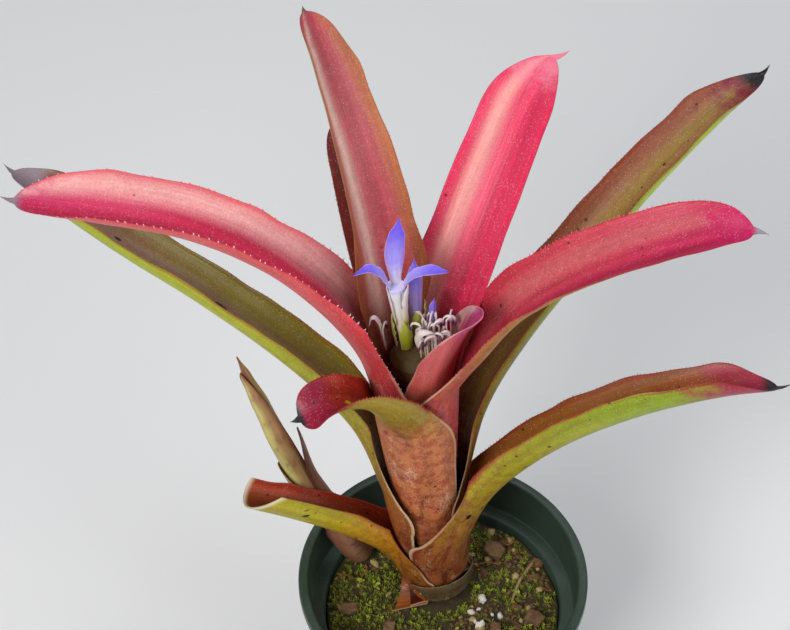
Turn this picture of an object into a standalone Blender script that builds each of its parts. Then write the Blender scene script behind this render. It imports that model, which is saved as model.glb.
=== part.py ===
"""Potted bromeliad: a rosette of strap leaves with flowers in its cup, a young offset, potting mix and a pot.

Units are metres, +Z up. The origin is the centre of the pot's underside.
"""

import math
import random
from dataclasses import dataclass

import bmesh
import bpy
import numpy as np
from mathutils import Vector
from mathutils.bvhtree import BVHTree

# ---------------------------------------------------------------- pot
POT_HEIGHT = 0.090
RIM_RADIUS = 0.050
RIM_LIP = 0.0022
LIP_HEIGHT = 0.0040
RIM_OVERHANG = 0.0028
LEDGE_WIDTH = 0.0047
BODY_TAPER = 0.0075
COLLAR_RADIUS = RIM_RADIUS - RIM_OVERHANG
COLLAR_DEPTH = 0.0175
BODY_TOP_RADIUS = COLLAR_RADIUS - LEDGE_WIDTH
BASE_RADIUS = BODY_TOP_RADIUS - BODY_TAPER
WALL = 0.0011
FLOOR = 0.0018
EDGE_ROUND = 0.0010
DRAIN_COUNT = 8
DRAIN_RADIUS = 0.0032
DRAIN_INSET = 0.0095
DRAIN_RING = BASE_RADIUS - DRAIN_INSET
DRAIN_SEGMENTS = 12
POT_SEGMENTS = 40

# ---------------------------------------------------------------- potting mix
MIX_BELOW_RIM = 0.0200
MIX_SEGMENTS = 32
MIX_RINGS = 8
MIX_MOUND = 0.0022
MIX_CALM_RADIUS = 0.019
MIX_CALM_EDGE = 0.012
# Waves of the mix's top: share of the mound, turns per metre along X and Y, and their shifts.
MIX_WAVES = ((0.45, 210.0, 0.0, 0.7, 0.0, 180.0, -0.4), (0.27, 330.0, 330.0, 0.0, 0.0, 0.0, 0.0))
CHIP_SIZE = 0.0062
CHIP_WIDTH = 0.62
CHIP_THICKNESS = 0.34
CHIP_JITTER = 0.22
CHIP_BULGE = 1.15
CHIP_SPIN = 3.0
# Bark chips: share of the mix's radius, direction in degrees and share of the chip size.
CHIP_PLACES = (
    (0.50, 205, 0.75), (0.78, 238, 1.0), (0.72, 262, 1.25), (0.62, 292, 0.875), (0.80, 318, 1.125),
    (0.52, 330, 0.75), (0.80, 350, 1.0), (0.72, 50, 1.25), (0.80, 182, 0.875),
)
TWIG_LENGTH = 0.018
TWIG_RADIUS = 0.0007
TWIG_BEND = 0.12
# Twig: place along X and Y as shares of the mix's radius, and its direction in degrees.
TWIG_PLACE = (0.70, 0.26, 64)

# ---------------------------------------------------------------- rosette
CROWN_X = -0.002
CROWN_Y = 0.011
CROWN_LEAN = -3.9
STEM_DEPTH = 0.014
STEM_TOP = 0.072
STEM_FOOT_RADIUS = 0.0064
STEM_TOP_RADIUS = 0.0046
STEM_ROUND = 0.0012
STEM_SEGMENTS = 16
LEAF_THICKNESS = 0.0006
LAYER_GAP = 0.00045
SHEATH_FLARE = 0.006
# Stations below which a sheath's sections lie level.
LEVEL_END = -0.25
LEVEL_SPAN = 0.25
PIECE_GAP = 0.0003
# Radius of the innermost sheath's layer against height above the mix; each layer out adds a leaf and a gap.
INNER_LAYER = 10
INNER_RADIUS = (
    (-0.006, -0.0003), (0.0, 0.0001), (0.020, 0.0025), (0.050, 0.0055),
    (0.080, 0.0077), (0.110, 0.0098), (0.135, 0.0120), (0.175, 0.0165),
)
LEAF_SPANS_ACROSS = 10
SHEATH_SPANS = 4
BLADE_SPANS = 9

# ---------------------------------------------------------------- flowers
PETAL_THICKNESS = 0.0005
HEAD_TOP = 0.1290
HEAD_RADIUS = 0.0080
PEDUNCLE_RADIUS = 0.0034
# Flower head: share of its radius against depth below its top.
HEAD_PROFILE = ((0.85, 0.0130), (1.0, 0.0080), (0.97, 0.0040), (0.75, 0.0012), (0.35, 0.0003))
HEAD_NECK = 0.019
HEAD_SEGMENTS = 18

# ---------------------------------------------------------------- offset
# Radius of the offset's stem and spear against the share of its length.
OFFSET_RADII = ((0.0, 0.0024), (0.40, 0.0032), (0.62, 0.0031), (0.80, 0.0025), (0.92, 0.0015), (1.0, 0.0004))
SCALE_THICKNESS = 0.0005
SCALE_GAP = 0.0005


@dataclass(frozen=True)
class Leaf:
    """One leaf in the rosette's own frame.

    The ridge runs (out, side, up) from the sheath's top to the tip. Stations run from -1 at the foot
    through 0 at the sheath's top to 1 at the tip. Sides give the share of the half width that the sheath
    top has on its clockwise and anticlockwise sides, seen from above.
    """

    name: str
    azimuth: float
    layer: int
    foot: float
    sheath_top: float
    ridge: tuple
    half_width: tuple
    channel: tuple
    roll: tuple = ((0.0, 0.0), (1.0, 0.0))
    tip_start: float = 0.86
    tip_power: float = 2.0
    sides: tuple = (1.0, 1.0)
    colour: tuple = (0.45, 0.10, 0.12)


LEAVES = (
    Leaf("leaf_left_cut", 190, 0, 0.0045, 0.014,
         ((0.018, 0, 0.027), (0.031, 0, 0.0415), (0.046, 0, 0.0535), (0.061, 0, 0.064)),
         ((-1, 0.014), (-0.1, 0.020), (0.35, 0.0142), (0.7, 0.0122), (1, 0.0112)),
         ((-1, 0.012), (0.2, 0.0092), (0.6, 0.0076), (1, 0.0068)),
         roll=((0, 0), (0.3, 24), (1, 30)), tip_start=1.0, sides=(0.85, 0.85), colour=(0.42, 0.24, 0.04)),
    Leaf("leaf_right_low", -5, 1, 0.0080, 0.034,
         ((0.024, 0, 0.057), (0.045, 0, 0.081), (0.070, 0, 0.098), (0.096, 0, 0.109), (0.114, 0, 0.113)),
         ((-1, 0.020), (-0.1, 0.026), (0.25, 0.0160), (0.6, 0.0155), (0.85, 0.0125), (1, 0.008)),
         ((-1, 0.012), (0.25, 0.0105), (0.6, 0.0102), (0.85, 0.009), (1, 0.008)),
         roll=((0, 0), (0.3, -26), (0.7, -32), (1, -30)), tip_start=0.88, sides=(1.0, 0.75),
         colour=(0.38, 0.25, 0.04)),
    Leaf("leaf_left_green", 155, 2, 0.0115, 0.056,
         ((0.025, 0, 0.082), (0.048, 0, 0.103), (0.076, 0, 0.120), (0.108, 0, 0.135), (0.142, 0, 0.155)),
         ((-1, 0.014), (-0.1, 0.022), (0.25, 0.0145), (0.55, 0.0128), (0.85, 0.0118), (1, 0.009)),
         ((-1, 0.012), (0.25, 0.0090), (1, 0.0088)),
         roll=((0, 0), (0.35, 22), (1, 20)), tip_start=0.90, sides=(0.35, 1.0), colour=(0.30, 0.25, 0.06)),
    Leaf("leaf_back_low", 104, 3, 0.0150, 0.066,
         ((0.025, 0, 0.094), (0.050, 0, 0.113), (0.079, 0, 0.125), (0.104, 0, 0.131)),
         ((-1, 0.014), (-0.1, 0.022), (0.25, 0.013), (0.55, 0.0105), (1, 0.007)),
         ((-1, 0.012), (0.25, 0.011), (1, 0.011)),
         sides=(0.35, 0.35), colour=(0.25, 0.03, 0.04)),
    Leaf("leaf_right_long", 37, 4, 0.0185, 0.056,
         ((0.025, 0, 0.087), (0.045, 0, 0.107), (0.072, 0, 0.124), (0.099, 0, 0.139), (0.125, 0, 0.150),
          (0.146, 0, 0.156)),
         ((-1, 0.014), (-0.1, 0.022), (0.25, 0.015), (0.55, 0.013), (0.85, 0.0115), (1, 0.008)),
         ((-1, 0.012), (0.25, 0.0095), (1, 0.009)),
         roll=((0, 0), (0.4, -8), (1, -14)), sides=(0.75, 0.30), colour=(0.36, 0.27, 0.08)),
    Leaf("leaf_front_folded", 238, 5, 0.0225, 0.100,
         ((0.022, 0.001, 0.119), (0.028, -0.001, 0.129), (0.034, -0.005, 0.134), (0.040, -0.009, 0.136),
          (0.045, -0.013, 0.134)),
         ((-1, 0.014), (-0.15, 0.022), (0.35, 0.014), (0.7, 0.011), (1, 0.009)),
         ((-1, 0.012), (0.3, 0.011), (0.7, 0.009), (1, 0.010)),
         tip_start=0.80, sides=(0.9, 0.9), colour=(0.45, 0.17, 0.08)),
    Leaf("leaf_left_pink", 184, 6, 0.044, 0.112,
         ((0.018, 0, 0.133), (0.028, 0, 0.155), (0.044, 0, 0.177), (0.065, 0, 0.1935), (0.089, 0, 0.2035),
          (0.111, 0, 0.211)),
         ((-1, 0.011), (-0.1, 0.021), (0.2, 0.0175), (0.5, 0.0145), (0.8, 0.0135), (1, 0.010)),
         ((-1, 0.012), (0.25, 0.012), (0.6, 0.0115), (1, 0.011)),
         roll=((0, 0), (0.4, 3), (1, 3)), tip_start=0.84, sides=(0.5, 1.0), colour=(0.60, 0.16, 0.20)),
    Leaf("leaf_right_pink", -6, 7, 0.048, 0.112,
         ((0.024, 0, 0.132), (0.037, 0, 0.152), (0.056, 0, 0.168), (0.078, 0, 0.180), (0.095, 0, 0.187),
          (0.1035, 0, 0.187)),
         ((-1, 0.011), (-0.1, 0.021), (0.2, 0.016), (0.5, 0.0135), (0.8, 0.0125), (1, 0.009)),
         ((-1, 0.012), (0.25, 0.015), (1, 0.016)),
         sides=(1.0, 0.30), colour=(0.60, 0.10, 0.18)),
    Leaf("leaf_back_upright", 117, 8, 0.052, 0.112,
         ((0.015, 0, 0.139), (0.021, 0, 0.161), (0.0295, 0, 0.184), (0.043, 0, 0.205), (0.0585, 0, 0.2245)),
         ((-1, 0.010), (-0.1, 0.021), (0.2, 0.015), (0.5, 0.013), (0.8, 0.012), (1, 0.009)),
         ((-1, 0.012), (0.25, 0.013), (1, 0.014)),
         roll=((0, 0), (0.4, 15), (1, 40)), tip_start=0.84, sides=(0.25, 0.5), colour=(0.58, 0.22, 0.22)),
    Leaf("leaf_back_broad", 56, 9, 0.056, 0.108,
         ((0.0203, 0, 0.132), (0.035, 0, 0.1504), (0.052, 0, 0.1666), (0.068, 0, 0.1806), (0.080, 0, 0.1896)),
         ((-1, 0.010), (-0.1, 0.021), (0.2, 0.0145), (0.5, 0.0128), (0.85, 0.0123), (1, 0.011)),
         ((-1, 0.012), (0.25, 0.018), (0.5, 0.024), (1, 0.026)),
         roll=((0, 0), (0.5, 6), (1, 0)), tip_start=0.90, tip_power=2.4, sides=(0.6, 0.25),
         colour=(0.66, 0.16, 0.25)),
    Leaf("leaf_cup_inner", 328, 10, 0.060, 0.108,
         ((0.014, 0, 0.130), (0.020, 0, 0.147), (0.026, 0, 0.157)),
         ((-1, 0.010), (-0.1, 0.018), (0.5, 0.013), (1, 0.008)),
         ((-1, 0.011), (0.5, 0.012), (1, 0.009)),
         tip_start=0.70, sides=(0.9, 0.9), colour=(0.50, 0.30, 0.25)),
)

DRY_SHEATH = Leaf("dry_basal_sheath", 292, -1, 0.0010, 0.0110,
                  ((0.0134, 0, 0.0140), (0.0139, 0, 0.0170)),
                  ((-1, 0.011), (-0.1, 0.017), (0.5, 0.014), (1, 0.009)),
                  ((-1, 0.012), (1, 0.014)),
                  tip_start=0.5, sides=(0.6, 1.0), colour=(0.22, 0.17, 0.13))


@dataclass(frozen=True)
class Strip:
    """A petal, sepal or curled remnant: a curved strip along a path in the rosette's frame."""

    name: str
    path: tuple
    side: tuple
    half_width: tuple
    channel: float
    colour: tuple
    tip_start: float = 0.6
    turn: float = 0.0


LAVENDER = (0.30, 0.27, 0.72)
SEPAL_GREEN = (0.50, 0.55, 0.16)
SPENT = (0.62, 0.52, 0.58)

TUBE_PATH = ((-0.0024, 0.0, 0.1325), (-0.0028, 0.0, 0.141), (-0.0034, 0.0, 0.150), (-0.0037, 0.0, 0.158))
TUBE_RADII = (0.0017, 0.0019, 0.0022, 0.0029)
BUD_PATH = ((0.0010, 0.0046, 0.1325), (0.0014, 0.0044, 0.142), (0.0020, 0.0042, 0.156), (0.0025, 0.0040, 0.166))
BUD_RADII = (0.0018, 0.0021, 0.0026, 0.0005)
SMALL_BUD_PATH = ((0.0060, 0.0020, 0.1315), (0.0062, 0.0020, 0.137), (0.0064, 0.0020, 0.144),
                  (0.0066, 0.0020, 0.149))
SMALL_BUD_RADII = (0.0012, 0.0015, 0.0014, 0.0004)

FLOWER_STRIPS = (
    Strip("petal_upright", ((-0.0037, 0.0012, 0.1586), (-0.0034, 0.0022, 0.168), (-0.0020, 0.0034, 0.177),
                            (-0.0008, 0.0044, 0.183)), (1, 0, 0),
          ((0, 0.0016), (0.45, 0.0036), (0.75, 0.0030), (1, 0.0010)), 0.0045, LAVENDER, 0.75),
    Strip("petal_left", ((-0.0052, -0.0012, 0.1586), (-0.0078, -0.0022, 0.166), (-0.0115, -0.0032, 0.1695),
                         (-0.0158, -0.0040, 0.1680)), (0, -1, 0.1),
          ((0, 0.0012), (0.45, 0.0028), (0.75, 0.0026), (1, 0.0009)), 0.0060, LAVENDER, 0.7),
    Strip("petal_right", ((-0.0020, -0.0014, 0.1586), (0.0015, -0.0024, 0.1645), (0.0070, -0.0030, 0.1675),
                          (0.0128, -0.0030, 0.1665)), (0, 1, 0),
          ((0, 0.0012), (0.45, 0.0028), (0.75, 0.0026), (1, 0.0009)), 0.0060, LAVENDER, 0.7),
    Strip("sepal_left", ((-0.0058, 0.0, 0.1325), (-0.0062, 0.0, 0.138), (-0.0062, 0.0, 0.144)), (0, -1, 0),
          ((0, 0.0018), (0.5, 0.0022), (1, 0.0006)), 0.0032, SEPAL_GREEN),
    Strip("sepal_front", ((-0.0012, -0.0030, 0.1325), (-0.0012, -0.0035, 0.138), (-0.0016, -0.0036, 0.143)),
          (1, 0.3, 0), ((0, 0.0018), (0.5, 0.0022), (1, 0.0006)), 0.0032, SEPAL_GREEN),
    Strip("sepal_back", ((-0.0030, 0.0034, 0.1325), (-0.0032, 0.0040, 0.138), (-0.0036, 0.0040, 0.144)),
          (-1, 0.2, 0), ((0, 0.0016), (0.5, 0.0019), (1, 0.0006)), 0.0032, SEPAL_GREEN),
    Strip("spent_flower_left", ((-0.0085, -0.0008, 0.1300), (-0.0092, -0.0010, 0.138), (-0.0098, -0.0006, 0.144),
                                (-0.0090, 0.0006, 0.148)), (0, -1, 0),
          ((0, 0.0012), (0.5, 0.0021), (1, 0.0008)), 0.0030, SPENT, 0.6),
    Strip("spent_flower_front", ((0.0030, -0.0052, 0.1315), (0.0036, -0.0062, 0.138), (0.0060, -0.0066, 0.142),
                                 (0.0090, -0.0056, 0.1425)), (0.6, -0.8, 0),
          ((0, 0.0012), (0.5, 0.0022), (1, 0.0010)), 0.0030, SPENT, 0.6),
    Strip("spent_flower_middle", ((0.0036, -0.0006, 0.1320), (0.0040, -0.0010, 0.140), (0.0030, -0.0014, 0.146),
                                  (0.0006, -0.0022, 0.1485)), (0.3, -1, 0),
          ((0, 0.0011), (0.5, 0.0019), (1, 0.0008)), 0.0030, SPENT, 0.6),
    Strip("spent_flower_right", ((0.0086, -0.0006, 0.1300), (0.0094, -0.0008, 0.137), (0.0112, -0.0008, 0.143),
                                 (0.0128, -0.0004, 0.1440)), (0, 1, 0),
          ((0, 0.0012), (0.5, 0.0020), (1, 0.0009)), 0.0030, SPENT, 0.6),
)

# Offset: its foot (x, y, height above the mix), and its centre line on from there (x, y, height above the rim).
OFFSET_FOOT = (-0.0285, 0.0230, 0.0025)
OFFSET_LINE = (
    (-0.0322, 0.0195, -0.0070), (-0.0370, 0.0190, 0.0058), (-0.0430, 0.0202, 0.0170), (-0.0489, 0.0210, 0.0298),
    (-0.0552, 0.0213, 0.0486), (-0.0611, 0.0226, 0.0679), (-0.0680, 0.0250, 0.0870),
)
OFFSET_STEM_END = 0.62
OFFSET_STEM_SPANS = 8
OFFSET_SPEAR_SPANS = 7


@dataclass(frozen=True)
class Scale:
    """A scale leaf wrapped about the offset.

    Start and end are shares of the offset's length. It faces away from the back (0) through the left (90),
    front (180) and right (270), wraps that many degrees each way, and its tip stands out by the flare.
    """

    name: str
    start: float
    end: float
    layer: int
    facing: float
    wrap: float
    flare: float = 0.0
    colour: tuple = (0.40, 0.30, 0.18)


SCALES = (
    Scale("offset_scale_low_front", 0.03, 0.27, 2, 200, 92, 0.0, (0.24, 0.12, 0.07)),
    Scale("offset_scale_low_back", 0.05, 0.36, 2, 15, 66),
    Scale("offset_scale_left", 0.12, 0.54, 1, 100, 100),
    Scale("offset_scale_right", 0.20, 0.66, 1, 280, 58, 0.0022, (0.42, 0.20, 0.14)),
    Scale("offset_scale_upper", 0.26, 0.95, 0, 150, 120, 0.0, (0.52, 0.40, 0.24)),
)


def clear_scene():
    """Remove every object that the file opened with."""
    for obj in list(bpy.data.objects):
        bpy.data.objects.remove(obj, do_unlink=True)


def make_material(name, colour, roughness=0.5, metallic=0.0):
    """A plain Principled material."""
    material = bpy.data.materials.new(name)
    material.use_nodes = True
    shader = material.node_tree.nodes["Principled BSDF"]
    shader.inputs["Base Color"].default_value = (*colour, 1.0)
    shader.inputs["Roughness"].default_value = roughness
    shader.inputs["Metallic"].default_value = metallic
    return material


def add_piece(name, vertices, faces, colour, roughness=0.5, parent=None):
    """Make one closed, outward-facing mesh object."""
    mesh = bpy.data.meshes.new(name)
    mesh.from_pydata([tuple(map(float, v)) for v in vertices], [], faces)
    work = bmesh.new()
    work.from_mesh(mesh)
    bmesh.ops.triangulate(work, faces=work.faces)
    bmesh.ops.recalc_face_normals(work, faces=work.faces)
    if work.calc_volume(signed=True) < 0:
        bmesh.ops.reverse_faces(work, faces=work.faces)
    work.to_mesh(mesh)
    work.free()
    mesh.shade_smooth()
    mesh.set_sharp_from_angle(angle=math.radians(40))
    mesh.materials.append(make_material(name, colour, roughness))
    piece = bpy.data.objects.new(name, mesh)
    bpy.context.scene.collection.objects.link(piece)
    piece.parent = parent
    return piece


def smooth_step(t):
    """Ease from 0 to 1."""
    t = np.clip(t, 0.0, 1.0)
    return t * t * (3.0 - 2.0 * t)


def eased(pairs, at):
    """Value between (station, value) pairs, eased from each pair to the next."""
    stations = np.array([p[0] for p in pairs], float)
    values = np.array([p[1] for p in pairs], float)
    at = np.asarray(at, float)
    low = np.clip(np.searchsorted(stations, at, side="right") - 1, 0, len(pairs) - 2)
    t = smooth_step((at - stations[low]) / (stations[low + 1] - stations[low]))
    return values[low] * (1.0 - t) + values[low + 1] * t


def spline(points, fractions):
    """Catmull-Rom curve through points, read at fractions of its length. Returns positions and the length."""
    points = np.asarray(points, float)
    padded = np.vstack([2 * points[0] - points[1], points, 2 * points[-1] - points[-2]])
    t = np.linspace(0.0, 1.0, 24, endpoint=False)[:, None]
    runs = []
    for a, b, c, d in zip(padded[:-3], padded[1:-2], padded[2:-1], padded[3:]):
        runs.append(0.5 * (2 * b + (c - a) * t + (2 * a - 5 * b + 4 * c - d) * t**2
                           + (3 * b - a - 3 * c + d) * t**3))
    dense = np.vstack(runs + [points[-1:]])
    along = np.r_[0.0, np.cumsum(np.linalg.norm(np.diff(dense, axis=0), axis=1))]
    at = np.asarray(fractions) * along[-1]
    return np.stack([np.interp(at, along, dense[:, k]) for k in range(3)], axis=1), along[-1]


def frames_along(centres, side):
    """Tangent, side and normal at each centre. The side starts from a given direction."""
    tangent = np.gradient(centres, axis=0)
    tangent /= np.linalg.norm(tangent, axis=1)[:, None]
    across = side - (tangent @ side)[:, None] * tangent
    across /= np.linalg.norm(across, axis=1)[:, None]
    return tangent, across, np.cross(tangent, across)


def section_grid(centres, across, normal, half_width, radius, spans, sides=None):
    """Rows of points on circular arcs of the given half width (along the arc) and radius."""
    u = np.linspace(-1.0, 1.0, spans + 1)
    reach = np.repeat(u[None], len(centres), axis=0)
    if sides is not None:
        reach = np.where(reach < 0.0, reach * sides[0][:, None], reach * sides[1][:, None])
    angle = (half_width / radius)[:, None] * reach
    sideways = radius[:, None] * np.sin(angle)
    inward = radius[:, None] * (1.0 - np.cos(angle))
    return centres[:, None] + across[:, None] * sideways[..., None] + normal[:, None] * inward[..., None]


def thicken(grid, thickness):
    """Close a grid of points into a solid by offsetting it away from its inner side."""
    rows, columns = grid.shape[:2]
    along = np.gradient(grid, axis=0)
    across = np.gradient(grid, axis=1)
    normal = np.cross(along, across)
    normal /= np.linalg.norm(normal, axis=2)[..., None]
    outer = grid - normal * thickness
    vertices = np.vstack([grid.reshape(-1, 3), outer.reshape(-1, 3)])
    shift = rows * columns
    faces = []
    for i in range(rows - 1):
        for j in range(columns - 1):
            a = i * columns + j
            quad = (a, a + columns, a + columns + 1, a + 1)
            faces.append(quad)
            faces.append(tuple(reversed([v + shift for v in quad])))
    border = [(i, 0) for i in range(rows)] + [(rows - 1, j) for j in range(1, columns)]
    border += [(i, columns - 1) for i in range(rows - 2, -1, -1)] + [(0, j) for j in range(columns - 2, 0, -1)]
    ring = [i * columns + j for i, j in border]
    for a, b in zip(ring, ring[1:] + ring[:1]):
        faces.append((b, a, a + shift, b + shift))
    return vertices, faces


def stem_radius(height):
    """Stem radius at a height above the mix."""
    share = np.clip(np.asarray(height, float) / STEM_TOP, 0.0, 1.0)
    return STEM_FOOT_RADIUS * (1.0 - share) + STEM_TOP_RADIUS * share


def layer_radius(layer, foot, height):
    """Inner radius of a leaf's sheath at a height: from the stem at its foot out to its own layer."""
    heights, radii = zip(*INNER_RADIUS)
    full = np.interp(height, heights, radii) + (INNER_LAYER - layer) * (LEAF_THICKNESS + LAYER_GAP)
    flare = smooth_step((np.asarray(height, float) - foot) / SHEATH_FLARE)
    return (stem_radius(height) + LAYER_GAP) * (1.0 - flare) + full * flare


def leaf_grid(leaf):
    """Inner surface of a leaf: rows along it, columns across it."""
    sheath_heights = [leaf.foot, leaf.foot + SHEATH_FLARE / 2, leaf.foot + SHEATH_FLARE]
    sheath_heights += list(np.linspace(leaf.foot + SHEATH_FLARE, leaf.sheath_top, 4)[1:])
    points = [(float(layer_radius(leaf.layer, leaf.foot, h)), 0.0, h) for h in sheath_heights] + list(leaf.ridge)
    dense = np.linspace(0.0, 1.0, 200)
    ridge, length = spline(points, dense)
    sheath_end = float(np.interp(leaf.sheath_top, np.maximum.accumulate(ridge[:, 2]), dense))
    flare_end = SHEATH_FLARE * 1.35 / length
    fractions = np.r_[0.0, flare_end / 2, np.linspace(flare_end, sheath_end, SHEATH_SPANS + 1)]
    blade = 1.0 - (1.0 - np.linspace(0.0, 1.0, BLADE_SPANS + 1)[1:]) ** 1.35
    fractions = np.r_[fractions, sheath_end + (1.0 - sheath_end) * blade]
    ridge, length = spline(points, fractions)
    station = np.where(fractions < sheath_end, fractions / sheath_end - 1.0,
                       (fractions - sheath_end) / (1.0 - sheath_end))
    turn = math.radians(leaf.azimuth)
    out = np.array([math.cos(turn), math.sin(turn), 0.0])
    side = np.array([-math.sin(turn), math.cos(turn), 0.0])
    centres = ridge[:, :1] * out + ridge[:, 1:2] * side + ridge[:, 2:] * np.array([0.0, 0.0, 1.0])
    _, across, normal = frames_along(centres, side)
    roll = np.radians(eased(leaf.roll, np.maximum(station, 0.0)))[:, None]
    across, normal = across * np.cos(roll) + normal * np.sin(roll), normal * np.cos(roll) - across * np.sin(roll)
    level = smooth_step((LEVEL_END - station) / LEVEL_SPAN)[:, None]
    normal = normal * (1.0 - level) - out * level
    normal /= np.linalg.norm(normal, axis=1, keepdims=True)
    half_width = eased(leaf.half_width, station)
    rounding = np.clip((station - leaf.tip_start) / max(1.0 - leaf.tip_start, 1e-6), 0.0, 1.0)
    if leaf.tip_start < 1.0:
        half_width = np.maximum(half_width * np.sqrt(1.0 - rounding**leaf.tip_power), 0.0006)
    about_axis = smooth_step((0.18 - station) / 0.28)
    sheath_share = smooth_step((0.30 - station) / 0.30) * smooth_step((station + 0.65) / 0.40)
    reach = np.hypot(ridge[:, 0], ridge[:, 1])
    radius = eased(leaf.channel, station) * (1.0 - about_axis) + reach * about_axis
    sides = [1.0 - sheath_share * (1.0 - share) for share in leaf.sides]
    grid = section_grid(centres, across, normal, half_width, radius, LEAF_SPANS_ACROSS, sides)
    from_axis = np.hypot(grid[..., 0], grid[..., 1])
    least = layer_radius(leaf.layer, leaf.foot, grid[..., 2])
    grid[..., :2] *= (np.maximum(from_axis, least) / np.maximum(from_axis, 1e-6))[..., None]
    return grid


def build_leaf(leaf, crown):
    """One leaf of the rosette."""
    vertices, faces = thicken(leaf_grid(leaf), LEAF_THICKNESS)
    return add_piece(leaf.name, vertices, faces, leaf.colour, 0.42, crown)


def turned(profile, segments, centre=(0.0, 0.0)):
    """Closed turned solid. The profile starts and ends on the axis."""
    vertices = [(centre[0], centre[1], profile[0][1])]
    faces = []
    inner = profile[1:-1]
    for radius, height in inner:
        for k in range(segments):
            a = 2.0 * math.pi * k / segments
            vertices.append((centre[0] + radius * math.cos(a), centre[1] + radius * math.sin(a), height))
    last = len(vertices)
    vertices.append((centre[0], centre[1], profile[-1][1]))
    for k in range(segments):
        n = (k + 1) % segments
        faces.append((0, 1 + k, 1 + n))
        for row in range(len(inner) - 1):
            a = 1 + row * segments
            faces.append((a + k, a + segments + k, a + segments + n, a + n))
        a = 1 + (len(inner) - 1) * segments
        faces.append((a + k, last, a + n))
    return vertices, faces


def rod(centres, radii, segments, side):
    """Closed round solid about a line of centres, with a radius at each."""
    _, across, normal = frames_along(centres, np.asarray(side, float))
    samples = len(centres)
    vertices = [tuple(centres[0])]
    for row in range(samples):
        for k in range(segments):
            a = 2.0 * math.pi * k / segments
            spoke = across[row] * math.cos(a) + normal[row] * math.sin(a)
            vertices.append(tuple(centres[row] + radii[row] * spoke))
    last = len(vertices)
    vertices.append(tuple(centres[-1]))
    faces = []
    for k in range(segments):
        n = (k + 1) % segments
        faces.append((0, 1 + n, 1 + k))
        for row in range(samples - 1):
            a = 1 + row * segments
            faces.append((a + k, a + n, a + segments + n, a + segments + k))
        a = 1 + (samples - 1) * segments
        faces.append((a + k, a + n, last))
    return vertices, faces


def curved_rod(path, radii, segments, side, spans):
    """Closed round solid along a curve through the path, its radius eased between the given radii."""
    fractions = np.linspace(0.0, 1.0, spans + 1)
    centres, _ = spline(path, fractions)
    radius = eased(list(zip(np.linspace(0.0, 1.0, len(radii)), radii)), fractions)
    return rod(centres, radius, segments, side)


def drain_cutter(index):
    """A round cutter for one drain hole at the edge of the pot's floor."""
    turn = 2.0 * math.pi * (index + 0.5) / DRAIN_COUNT
    reach = FLOOR * 3.0
    bpy.ops.mesh.primitive_cylinder_add(vertices=DRAIN_SEGMENTS, radius=DRAIN_RADIUS, depth=reach * 2.0,
                                        location=(DRAIN_RING * math.cos(turn), DRAIN_RING * math.sin(turn), 0.0))
    cutter = bpy.context.object
    cutter.name = f"drain_cutter_{index}"
    cutter.hide_render = True
    cutter.display_type = "WIRE"
    return cutter


def ledge_height():
    """Height of the step inside the pot, under its collar."""
    return POT_HEIGHT - COLLAR_DEPTH


def inner_radius(height):
    """Inside radius of the pot's tapered body at a height below the ledge."""
    low, high = FLOOR + EDGE_ROUND, ledge_height() - EDGE_ROUND
    share = (height - low) / (high - low)
    return BASE_RADIUS + (BODY_TOP_RADIUS - BASE_RADIUS) * share - WALL


def build_pot():
    """Thin nursery pot: tapered body, stepped collar, rolled rim and drain holes round the floor's edge."""
    ledge = ledge_height()
    rim_inner = RIM_RADIUS - RIM_LIP
    profile = [
        (0.0, 0.0), (BASE_RADIUS - EDGE_ROUND, 0.0), (BASE_RADIUS, EDGE_ROUND),
        (BODY_TOP_RADIUS, ledge - WALL), (COLLAR_RADIUS - EDGE_ROUND, ledge - WALL),
        (COLLAR_RADIUS, ledge - WALL + EDGE_ROUND), (rim_inner, POT_HEIGHT - LIP_HEIGHT),
        (RIM_RADIUS - EDGE_ROUND * 0.5, POT_HEIGHT - LIP_HEIGHT), (RIM_RADIUS, POT_HEIGHT - LIP_HEIGHT * 0.75),
        (RIM_RADIUS, POT_HEIGHT - EDGE_ROUND), (RIM_RADIUS - EDGE_ROUND, POT_HEIGHT),
        (rim_inner - WALL + EDGE_ROUND * 0.4, POT_HEIGHT - EDGE_ROUND * 0.3),
        (rim_inner - WALL, POT_HEIGHT - EDGE_ROUND * 1.2),
        (COLLAR_RADIUS - WALL, ledge + EDGE_ROUND), (COLLAR_RADIUS - WALL - EDGE_ROUND, ledge),
        (BODY_TOP_RADIUS - WALL + EDGE_ROUND, ledge), (BODY_TOP_RADIUS - WALL, ledge - EDGE_ROUND),
        (BASE_RADIUS - WALL, FLOOR + EDGE_ROUND), (BASE_RADIUS - WALL - EDGE_ROUND, FLOOR), (0.0, FLOOR),
    ]
    vertices, faces = turned(profile, POT_SEGMENTS)
    pot = add_piece("pot", vertices, faces, (0.035, 0.085, 0.075), 0.45)
    for index in range(DRAIN_COUNT):
        cut = pot.modifiers.new(f"drain_{index}", "BOOLEAN")
        cut.operation = "DIFFERENCE"
        cut.solver = "EXACT"
        cut.object = drain_cutter(index)
    return pot


def mix_level():
    """Height of the potting mix about the rosette."""
    return POT_HEIGHT - MIX_BELOW_RIM


def mix_height(x, y):
    """Top of the mix: level about the rosette, gently mounded towards the wall."""
    from_crown = math.hypot(x - CROWN_X, y - CROWN_Y)
    rise = float(smooth_step((from_crown - MIX_CALM_RADIUS) / MIX_CALM_EDGE))
    waves = sum(share * math.sin(x * ax + y * ay + sa) * math.cos(x * bx + y * by + sb)
                for share, ax, ay, sa, bx, by, sb in MIX_WAVES)
    return mix_level() - PIECE_GAP + rise * MIX_MOUND * waves


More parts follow.
